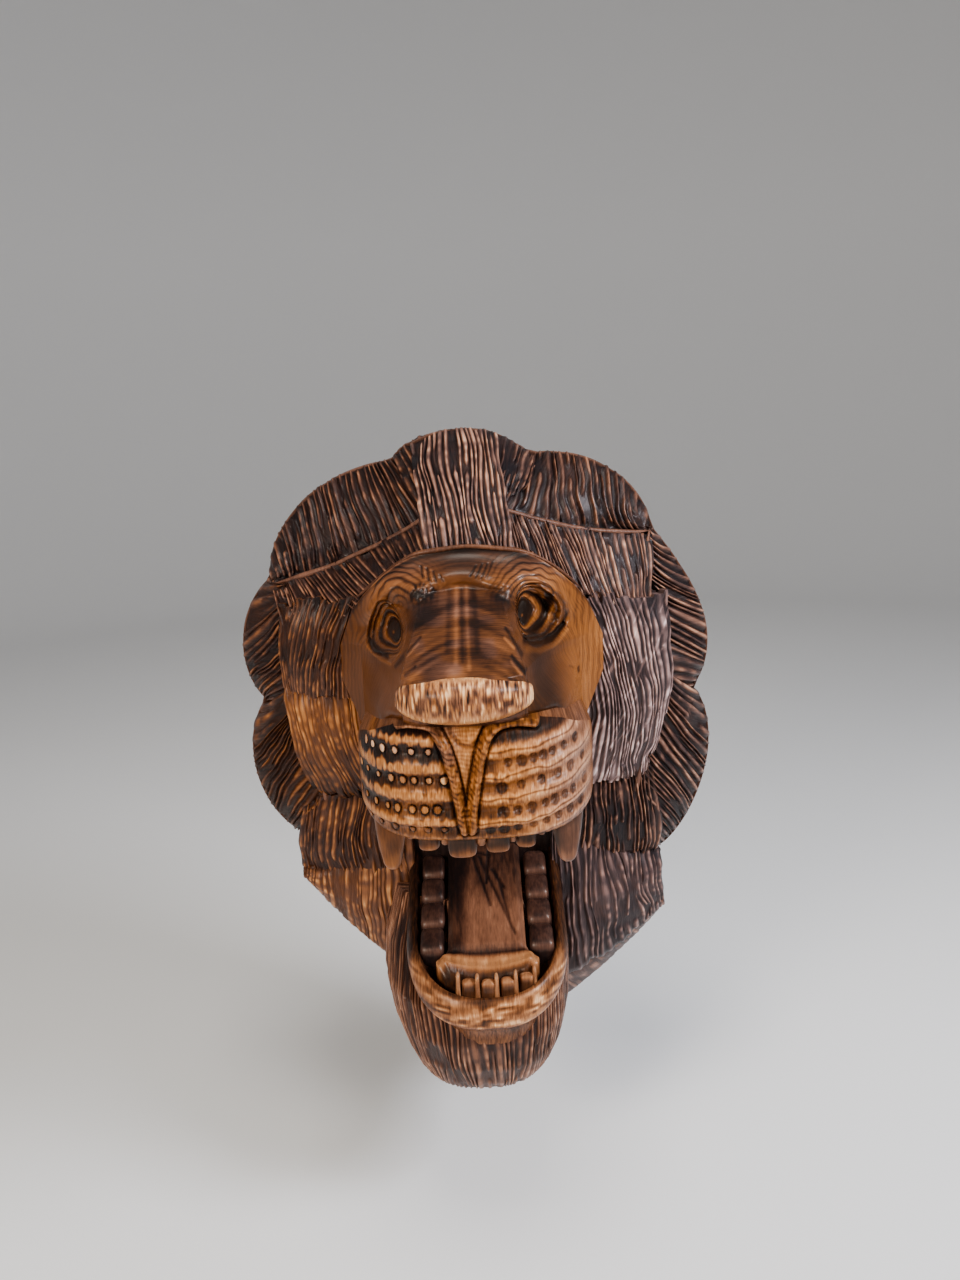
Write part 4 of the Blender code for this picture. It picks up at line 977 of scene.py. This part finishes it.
def whisker_dots(x, z, h, tone):
    """Height and tone with a pip for each dot on the left and a pit for each on the right."""
    for level, places in LEFT_DOTS:
        for place in places:
            dot, ring = one_dot(x, z, place, level)
            h = h + 1.7 * np.sqrt(dot) - 0.5 * ring
            pip = 0.52 + 0.008 * level + 0.12 * np.sin(2.3 * place)
            tone = np.where(dot > 0.15, pip, tone - 0.30 * ring)
    for level, places in RIGHT_DOTS:
        for place in places:
            dot, ring = one_dot(x, z, place, level + RIGHT_CLIMB * place * place)
            h = h - 0.9 * dot - 0.4 * ring
            tone = tone - 0.32 * np.sqrt(dot) - 0.34 * ring
    return h, tone


print(sum(len(places) for level, places in LEFT_DOTS + RIGHT_DOTS), "whisker dots")

# %% [markdown]
# The wedge lies 3 mm deeper than the bands and shows wavy grain, with a round cut under the nose. Each rope
# is a half round with slanting dark turns. Then the muzzle is put together from all of this. The fine
# carving fades out on its side walls, which were left plain.

# %% Muzzle
THROAT = ((-12.5, 58.5), (-10.5, 52.0), (-5.7, 47.0), (-0.4, 47.3), (3.6, 52.6), (7.0, 58.0))
SIDE_TONE = 0.42


def carve_wedge(x, z, h, tone, gap, left, right, wedge):
    """Height and tone: sunk wedge with cosine waves, half-round ropes with sine turns, dark lines beside."""
    rope = np.sqrt(np.clip(1.0 - (gap / 2.9) ** 2, 0.0, 1.0))
    h = h - 3.4 * wedge * (1.0 - 0.3 * smooth(20.0, 60.0, z)) + 1.9 * rope
    h = h - 1.6 * smooth(4.6, 3.0, gap) * (gap > 2.7)
    across = np.clip((x - left) / np.maximum(right - left, 1.0), 0.0, 1.0)
    waves = z / 2.3 + 3.0 * (across - 0.5) ** 2 + hills(x / 4.0, z / 4.0, 34)
    waves = 0.5 + 0.5 * np.cos(2.0 * np.pi * waves)
    throat = line_distance(x, z, curve_through(THROAT, 40))
    bare = 0.80 - 0.26 * smooth(30.0, 8.0, z) - 0.12 * waves
    bare = bare - 0.22 * smooth(4.6, 2.6, gap) - 0.26 * smooth(2.2, 0.4, throat)
    h = h - 0.9 * smooth(2.2, 0.3, throat) * wedge
    tone = tone * (1.0 - wedge) + wedge * bare
    side = np.sign(x - np.where(x < NOSE_X, left, right))
    twist = (0.5 + 0.5 * np.sin(2.0 * np.pi * (z * 0.34 + gap * 0.22 * side))) ** 2
    turns = 0.58 - 0.40 * twist * hills(x / 1.5, z / 2.0, 33) + 0.3 * (hills(x / 1.2, z / 1.2, 35) - 0.5)
    return h, np.where(gap < 2.8, turns, tone) - 0.28 * np.exp(-((gap - 3.1) / 0.6) ** 2)


def muzzle_grid(rows, cols):
    """Plan less the rounded edges, then bands, dots, wedge and ropes, blended into plain sides."""
    pace, x, z, b = muzzle_places(rows, cols)
    gap, left, right, wedge = wedge_and_ropes(x, z)
    far_side = smooth(171.0, 151.0, muzzle_plan(x))
    h = muzzle_plan(x) - 9.0 * np.abs(b) ** 7
    h, tone, tint = whisker_bands(x, z, pace, h, (1.0 - wedge) * smooth(1.0, 3.8, gap), far_side)
    h, tone = whisker_dots(x, z, h, tone)
    h, tone = carve_wedge(x, z, h, tone, gap, left, right, wedge)
    # Painted shade along the lower rounded edge, where the muzzle turns under above the mouth.
    tone = tone - 0.30 * smooth(-0.90, -1.0, b)
    tone = tone * (1.0 - far_side) + SIDE_TONE * far_side
    grain = np.stack([pace, z, np.zeros(z.shape)], axis=-1)
    top = np.stack([x, z, h], axis=-1)
    return relief(top, tone, tint, floor=30.0, wall_tone=SIDE_TONE, grain=grain)


carve("muzzle", [muzzle_grid(240, 400)], muzzle_wood)

# %% [markdown]
# The nose is a rounded bar across the end of the bridge. Its upper two thirds were scorched with fine
# upright strokes, and its lower edge was left bare. Its right end carries a painted highlight, and its
# back half painted shade.

# %% Nose pad
def rounded_box(count, half_x, half_y, power):
    """Points of a superellipse, |x/a|^n + |y/b|^n = 1, walked by angle."""
    angle = np.linspace(0.0, 2.0 * np.pi, count, endpoint=False)
    c, s = np.cos(angle), np.sin(angle)
    x = half_x * np.sign(c) * np.abs(c) ** (2.0 / power)
    return np.column_stack([x, half_y * np.sign(s) * np.abs(s) ** (2.0 / power)])


PAD_MIDDLE = (NOSE_X, 69.5, 196.0)
PAD_HALF = (34.0, 11.5, 12.5)


def nose_pad(along, around):
    """Rounded boxes along the bar, smaller and further back towards both ends; the left end is blunter."""
    f = np.sin(np.linspace(-0.5, 0.5, along) * np.pi)
    loop = rounded_box(around, 1.0, 1.0, 2.6)
    size = (0.26 + 0.74 * (1.0 - np.abs(f) ** np.where(f > 0.0, 2.1, 2.8)) ** 0.6)[:, None]
    h = PAD_MIDDLE[2] - 7.0 * np.abs(f[:, None]) ** 2.2 + PAD_HALF[2] * size * loop[:, 0]
    z = PAD_MIDDLE[1] + PAD_HALF[1] * size * loop[:, 1]
    x = np.broadcast_to(PAD_MIDDLE[0] + PAD_HALF[0] * f[:, None], h.shape)
    scratch = 0.65 * hills(x / 0.6, z / 3.6, 41) + 0.35 * hills(x / 1.5, z / 3.0, 43) - 0.5
    upper = smooth(62.0, 68.0, z + 6.0 * (hills(x / 4.0, 1.5, 42) - 0.5)) * smooth(81.0, 79.0, z)
    h = h + 0.45 * scratch * smooth(-0.2, 0.3, loop[:, 0])
    tone = 0.79 + 0.20 * scratch - upper * (0.21 + 1.6 * scratch)
    # A painted highlight lightens the right end of the bar; the hills are random patches.
    tone = tone + 0.16 * smooth(0.70, 0.95, f)[:, None] + 0.16 * (hills(x / 9.0, z / 5.0, 44) - 0.5)
    # Painted shade darkens the back half, which faces the muzzle.
    tone = tone - 0.35 * smooth(0.2, -0.3, loop[:, 0])
    return ring_body(np.stack([x, z, h], axis=-1), tone, 0.90 - 0.25 * upper * (scratch > 0.0))


carve("nose_pad", [nose_pad(230, 72)], muzzle_wood)

# %% [markdown]
# The upper teeth are blunt blocks hanging from the muzzle: four incisors with light bars between them, and
# a canine at each corner. They were stained dark and left bare along their lower edges.

# %% Upper teeth
def tooth(x, h, wide, thick, root_z, tip_z, lean, taper, tone, edge_tone, tint, seed, around=40, levels=26):
    """Rounded boxes from the root to the tip, smaller towards the tip and rounded off over the last tenth."""
    f = 0.88 + 0.12 * np.sin(np.linspace(0.1, 1.0, 8) * np.pi / 2.0)
    f = np.concatenate([np.linspace(0.0, 0.88, levels - 8), f])[:, None]
    cap = np.sqrt(np.clip(1.0 - ((f - 0.86) / 0.142).clip(0.0, 1.0) ** 2.6, 0.0, 1.0)) * 0.93 + 0.07
    size = (1.0 - (1.0 - taper) * f ** 1.6) * cap
    loop = rounded_box(around, 0.5 * wide, 0.5 * thick, 3.2)
    lump = 1.0 + 0.10 * (hills(np.arange(around) / 5.0, f * 4.0, seed) - 0.5)
    z = np.broadcast_to(root_z + (tip_z - root_z) * f, lump.shape)
    rings = np.stack([x + loop[:, 0] * size * lump, z, h + lean * f + loop[:, 1] * size * lump], axis=-1)
    shade = tone + (edge_tone - tone) * smooth(0.72, 0.95, f)
    shade = shade + 0.25 * (hills(np.arange(around) / 3.0, f * 5.0, seed + 1) - 0.5)
    return ring_body(rings, shade, tint)


# The middle and width of each incisor and each light bar, and for the canines the middle, the two tones, the
# tint and the seed.
INCISORS = ((-26.0, 12.0), (-8.5, 16.0), (9.5, 13.5), (24.0, 11.5))
LIGHT_BARS = ((-35.5, 5.5), (-17.5, 5.0), (1.2, 5.5), (17.2, 4.5), (32.5, 5.0))
CANINES = ((-46.0, 0.34, 0.50, 1.0, 72), (46.0, 0.24, 0.52, 0.6, 74))
ROW_BEND = 0.010

upper_teeth = []
for k, (x, wide) in enumerate(INCISORS):
    tip_z = -16.0 if k == 1 else -14.0
    upper_teeth.append(tooth(x, 187.0 - ROW_BEND * x * x, wide, thick=9.0, root_z=6.0, tip_z=tip_z, lean=1.0,
                             taper=0.84, tone=0.13, edge_tone=0.50, tint=0.9, seed=60 + k))
for k, (x, wide) in enumerate(LIGHT_BARS):
    upper_teeth.append(tooth(x, 186.5 - ROW_BEND * x * x, wide, thick=9.6, root_z=6.0, tip_z=-10.0, lean=0.6,
                             taper=0.75, tone=0.66, edge_tone=0.50, tint=0.7, seed=66 + k))
for x, tone, edge_tone, tint, seed in CANINES:
    upper_teeth.append(tooth(x, 168.0, wide=19.0, thick=17.0, root_z=8.0, tip_z=-27.0, lean=6.0, taper=0.40,
                             tone=tone, edge_tone=edge_tone, tint=tint, seed=seed, around=48, levels=34))
carve("upper_teeth", upper_teeth, mouth_wood)

# %% [markdown]
# The lower jaw is a trough with a rolled lip that climbs to a horn on each side. One profile is carried
# round the jaw's plan. Its lip was left bare and curly, with nicks under it, and the rest was charred.

# %% Jaw and lip
JAW_X, JAW_HALF_W = 1.0, 47.0
JAW_BACK, JAW_BEND, JAW_FRONT = 46.0, 108.0, 161.0
LIP_BACK_Z, LIP_SLOPE = -68.0, 0.42
JAW_PROFILE = ((11.5, -10.0), (9.0, -8.6), (6.8, -6.6), (4.6, -1.4), (2.4, -0.4), (0.2, -2.6), (-1.4, -6.5),
               (-1.6, -10.0), (-0.6, -15.0), (2.6, -19.5), (7.0, -24.0), (11.0, -32.0), (13.0, -40.0))


def jaw_loop(inset, count):
    """Plan of the jaw as (x, h): a rounded front between straight sides, drawn in by the inset."""
    half, front, back = JAW_HALF_W - inset, JAW_FRONT - inset, JAW_BACK + inset
    angle = np.linspace(0.0, np.pi, count)
    c, s = np.cos(angle), np.sin(angle)
    x, h = half * np.sign(c) * np.abs(c) ** 0.8, JAW_BEND + (front - JAW_BEND) * s ** 0.9
    side_h = np.linspace(JAW_BEND, back, 16)[1:]
    across = np.linspace(-half, half, 12)[1:-1]
    left, right = np.full(len(side_h), -half), np.full(len(side_h), half)
    return np.vstack([np.column_stack([x, h]), np.column_stack([left, side_h]),
                      np.column_stack([across, np.full(len(across), back)]),
                      np.column_stack([right, side_h[::-1]])])


def lip_z(h):
    """Height of the lip's edge, falling 0.42 mm for each mm forward."""
    return LIP_BACK_Z - LIP_SLOPE * (h - JAW_BACK)


def jaw_body():
    """The plan carried through a profile: floor, inner wall, lip edge, rolled lip and underside."""
    profile = curve_through(JAW_PROFILE, 60)
    loops = np.array([jaw_loop(inset, 120) for inset in profile[:, 0]])
    x, h, drop = loops[..., 0] + JAW_X, loops[..., 1], profile[:, 1:]
    z = lip_z(h) + drop
    outside = np.arange(len(profile))[:, None] > 16
    lip = smooth(-24.0, -19.0, drop) * smooth(0.5, -1.5, drop) * outside * smooth(118.0, 136.0, h)
    curl = hills(x / 5.0 + 2.0 * hills(x / 9.0, z / 9.0, 56), z / 1.6, 51)
    tone = 0.09 + 0.08 * (x > JAW_X) + 0.47 * lip + 0.75 * (curl - 0.5) * lip
    tone = np.where(outside, tone, 0.09 + 0.2 * smooth(-6.0, 0.0, drop) * smooth(118.0, 130.0, h))
    under = smooth(-18.5, -21.5, drop)
    notch = smooth(0.55, 0.85, hills(x / 1.9, 0.5, 52)) * smooth(110.0, 130.0, h)
    tone = tone * (1.0 - under) + under * (0.40 - 0.34 * notch)
    h = h - 1.2 * notch * under
    grain = np.stack([x, np.broadcast_to(drop, x.shape), h], axis=-1)
    return ring_body(np.stack([x, z, h], axis=-1), tone, 0.85, grain)


carve("lower_jaw", [jaw_body()], muzzle_wood)

# %% [markdown]
# Inside the jaw lies the tongue, with a rolled tip and a few old scratches. Its sections from back to front
# make one body. Four molars stand on each side of it as smoked blocks with a painted highlight along the
# front edge, and in front of it four lower incisors, with thin taller bars between them.

# %% Tongue
TONGUE_SCRATCHES = (((4.0, 60.0), (2.0, 84.0)), ((-2.0, 64.0), (8.0, 92.0), (18.0, 120.0)),
                    ((-7.0, 60.0), (4.0, 100.0)), ((10.0, 82.0), (15.0, 110.0)), ((-6.0, 60.0), (5.0, 63.0)),
                    ((6.0, 74.0), (13.0, 88.0)))
LIFT_AT = (42.0, 126.0, 129.0, 133.0, 138.5, 142.5, 144.0)
LIFT = (9.0, 8.6, 7.2, 11.0, 12.8, 9.6, 3.0)


def tongue():
    """Sections from back to front: a shallow arc on top and straight sides, swelling into a rolled tip."""
    h = np.concatenate([np.linspace(42.0, 128.0, 60), np.linspace(129.0, 144.0, 28)])[:, None]
    wide = 23.0 + 7.0 * smooth(126.0, 134.0, h) - 5.0 * smooth(136.0, 144.0, h)
    a = np.linspace(-1.0, 1.0, 70)
    x, hh = np.broadcast_arrays(JAW_X + a * wide, h)
    rim = (2.2 + 3.5 * smooth(128.0, 134.0, h)) * smooth(0.84, 1.0, np.abs(a))
    z = lip_z(h) - 6.0 + np.interp(h, LIFT_AT, LIFT) + 0.8 * (1.0 - a ** 2) - rim
    z = z - 7.5 * smooth(126.0, 135.0, h) * (1.0 - a ** 2)
    cut = np.clip(sum(stroke(x, hh, scratch, 1.5) for scratch in TONGUE_SCRATCHES), 0.0, 1.0)
    z = z - 0.8 * cut + 0.5 * (hills(x / 5.0, hh / 6.0, 54) - 0.5)
    tone = 0.16 + 0.36 * smooth(60.0, 118.0, hh) - 0.30 * cut
    tone = tone - 0.34 * smooth(-0.35, -0.75, a) * smooth(132.0, 126.0, hh)
    tone = tone + (0.20 - 0.52 * smooth(138.5, 142.0, hh)) * smooth(129.0, 134.0, hh)
    tone = tone + 0.14 * (hills(x / 2.0, hh / 9.0, 55) - 0.5) - 0.4 * np.exp(-((hh - 129.5) / 1.4) ** 2)
    foot = np.stack(np.broadcast_arrays(JAW_X + wide * (1.0, -1.0), lip_z(h) - 12.0, h), axis=-1)
    rings = np.concatenate([np.stack([x, z, hh], axis=-1), foot], axis=1)
    tone = np.concatenate([tone, np.full(foot.shape[:2], 0.08)], axis=1)
    return ring_body(rings, tone, 0.62 + 0.26 * smooth(128.0, 134.0, h), rings[..., [0, 2, 1]])


carve("tongue", [tongue()], mouth_wood)

# %% Molars and lower incisors
MOLAR_SIDE, MOLAR_BACK, MOLAR_STEP = 32.5, 66.0, 18.0
INCISOR_STEP, LOWER_BEND = 11.0, 0.011


def molar(x, h, seed):
    """A block that leans with the floor of the mouth, its top edges rounded off."""
    f = np.array([0.0, 0.3, 0.6, 0.78, 0.88, 0.95, 1.0])[:, None]
    size = np.array([1.0, 1.0, 1.0, 0.97, 0.88, 0.72, 0.45])[:, None]
    loop = rounded_box(36, 7.4, 8.3, 5.0)
    loop = loop * (1.0 + 0.08 * (hills(np.arange(36) / 4.0, 0.5, seed) - 0.5))[:, None]
    z = lip_z(h) - 12.0 + 15.0 * f - LIP_SLOPE * loop[:, 1] * size
    shade = 0.05 + 0.15 * smooth(0.5, 0.9, f) * (0.4 + hills(loop[:, 0] / 3.0, loop[:, 1] / 3.0, seed))
    # A painted highlight along the front edge of the top.
    shade = shade + 0.17 * np.isin(f, (0.78, 0.88)) * smooth(2.0, 7.0, loop[:, 1])
    return ring_body(np.stack([x + loop[:, 0] * size, z, h + loop[:, 1] * size], axis=-1), shade, 0.45)


lower_teeth = [molar(JAW_X + side * MOLAR_SIDE, MOLAR_BACK + MOLAR_STEP * k, 80 + k + 5 * (side > 0))
               for side in (-1, 1) for k in range(4)]
for k in range(4):
    x, root_z = -10.0 + INCISOR_STEP * k, lip_z(151.0) - 12.0
    lower_teeth.append(tooth(x, 151.5 - LOWER_BEND * (x - JAW_X) ** 2, wide=9.2, thick=7.0, root_z=root_z,
                             tip_z=root_z + 16.0, lean=-1.0, taper=0.86, tone=0.30, edge_tone=0.66, tint=0.8,
                             seed=90 + k, around=36, levels=22))
for k in range(5):
    x, root_z = -16.4 + INCISOR_STEP * k, lip_z(152.0) - 12.0
    lower_teeth.append(tooth(x, 152.6 - LOWER_BEND * (x - JAW_X) ** 2, wide=3.4, thick=8.4, root_z=root_z,
                             tip_z=root_z + 20.0, lean=-2.0, taper=0.62, tone=0.58, edge_tone=0.74, tint=0.8,
                             seed=95 + k, around=28, levels=22))
carve("lower_teeth", lower_teeth, mouth_wood)

# %% [markdown]
# The beard hangs under the lip as one block, square in front with rounded corners and a blunt foot. Its
# strands run straight down, so here the columns of the strands go round the block.

# %% Beard
BEARD_STRANDS = 62
# Height, then the middle, the half width and the front of the block at that height.
BEARD = ((-88.0, -7.0, 51.0, 92.0), (-112.0, -7.0, 58.0, 120.0), (-132.0, -6.0, 60.0, 145.0),
         (-152.0, -4.5, 58.0, 149.0), (-172.0, -3.5, 53.0, 144.0), (-186.0, -3.5, 48.0, 136.0),
         (-193.0, -3.5, 44.0, 130.0), (-197.0, -3.5, 37.0, 122.0))


def beard():
    """Half rounds with middle, width and front from the table by height; grooves cut along the normal."""
    z = np.concatenate([np.linspace(-88.0, -186.0, 66), np.linspace(-187.0, -197.0, 10)])[:, None]
    level, *columns = np.array(BEARD).T
    mid, half, front = (np.interp(-z, -level, column) for column in columns)
    v, across, strand = strand_columns(BEARD_STRANDS, 301)
    length = -88.0 - z
    sway = (hills(v * 16.0, length / 26.0, 302) - 0.5) * 0.03 * (1.0 - np.abs(2.0 * v - 1.0) ** 4)
    angle = np.pi * (1.0 - np.clip(v + sway, 0.0, 1.0))
    c, s = np.cos(angle), np.sin(angle)
    x = mid + half * np.sign(c) * np.abs(c) ** 0.8
    h = 30.0 + (front - 30.0) * np.clip(s, 0.0, 1.0) ** 0.55
    body = np.stack(np.broadcast_arrays(x, z, h), axis=-1)
    height, crest, rub = hair(length, across[None, :], strand[None, :], 0.13, 303)
    normal = surface_normals(body)
    normal *= np.where((normal[..., 2] * smooth(60.0, 100.0, h)).sum() < 0, -1.0, 1.0)
    fade = 1.0 - 0.6 * smooth(-186.0, -197.0, z)
    body = body + normal * ((height - 1.0) * 1.5 * fade * smooth(30.0, 45.0, h))[..., None]
    rubbed = smooth(0.4, 0.8, hills(v * 9.0, length / 24.0, 304))
    tone = 0.11 + 0.08 * rubbed + height * (0.18 + 0.08 * rubbed)
    tone = tone + crest ** 2 * np.clip(0.19 + 0.7 * (rub - 0.5), 0.0, 0.5) + 0.10 * smooth(-165.0, -190.0, z)
    back = np.stack(np.broadcast_arrays(mid + half * np.array([1.0, -1.0]), z, 12.0), axis=-1)
    tone = np.concatenate([tone, np.full(back.shape[:2], 0.3)], axis=1)
    grain = np.stack(np.broadcast_arrays(np.append(v, (1.02, 1.04)) * 260.0, length, 500.0), axis=-1)
    return ring_body(np.concatenate([body, back], axis=1), tone, 0.62, grain)


carve("beard", [beard()], mane_wood)

# %% [markdown]
# The stage is a pale floor that rises into a round wall far from the mask. A cool window light from the upper
# right, a softer warm lamp on the left and a weak one under the ceiling give the varnish its glints.

# %% Floor and light
def bowl(sides):
    """A profile turned once round: a disc, a quarter circle and a wall, so that each side has a backdrop."""
    turn = np.linspace(0.0, np.pi / 2.0, 24)
    far = np.concatenate([[0.02], 2.2 + 1.2 * np.sin(turn), [3.4]])[:, None]
    high = np.concatenate([[0.0], 1.2 * (1.0 - np.cos(turn)), [4.0]])[:, None] - 0.30
    angle = np.linspace(0.0, 2.0 * np.pi, sides, endpoint=False)
    points = np.stack(np.broadcast_arrays(far * np.cos(angle), far * np.sin(angle), high), axis=-1)
    mesh = bpy.data.meshes.new("floor")
    faces = grid_faces(len(far), sides, True).tolist() + [list(range(sides))[::-1]]
    mesh.from_pydata(points.reshape(-1, 3).tolist(), [], faces)
    mesh.polygons.foreach_set("use_smooth", np.ones(len(mesh.polygons), bool))
    paint = bpy.data.materials.new("pale_floor")
    paint.use_nodes = True
    shader = paint.node_tree.nodes["Principled BSDF"]
    shader.inputs["Base Color"].default_value = (0.86, 0.86, 0.86, 1.0)
    shader.inputs["Roughness"].default_value = 0.8
    mesh.materials.append(paint)
    floor = bpy.data.objects.new("floor", mesh)
    bpy.context.scene.collection.objects.link(floor)


def window(name, place, size, power, colour):
    """A square lamp that faces the middle of the mask."""
    lamp = bpy.data.lights.new(name, "AREA")
    lamp.energy, lamp.size, lamp.color = power, size, colour
    holder = bpy.data.objects.new(name, lamp)
    bpy.context.scene.collection.objects.link(holder)
    holder.location = place
    holder.rotation_euler = (-Vector(place)).to_track_quat("-Z", "Y").to_euler()


bowl(96)
window("window_right", (0.85, -0.60, 0.70), 0.35, 22.0, (0.90, 0.92, 1.0))
window("lamp_left", (-0.70, -1.10, 0.50), 0.35, 14.0, (1.0, 0.90, 0.78))
window("ceiling", (0.0, -0.5, 1.4), 0.5, 13.0, (1.0, 0.96, 0.90))
world = bpy.data.worlds.new("soft_room")
world.use_nodes = True
world.node_tree.nodes["Background"].inputs["Color"].default_value = (1.0, 1.0, 1.0, 1.0)
world.node_tree.nodes["Background"].inputs["Strength"].default_value = 0.16
bpy.context.scene.world = world
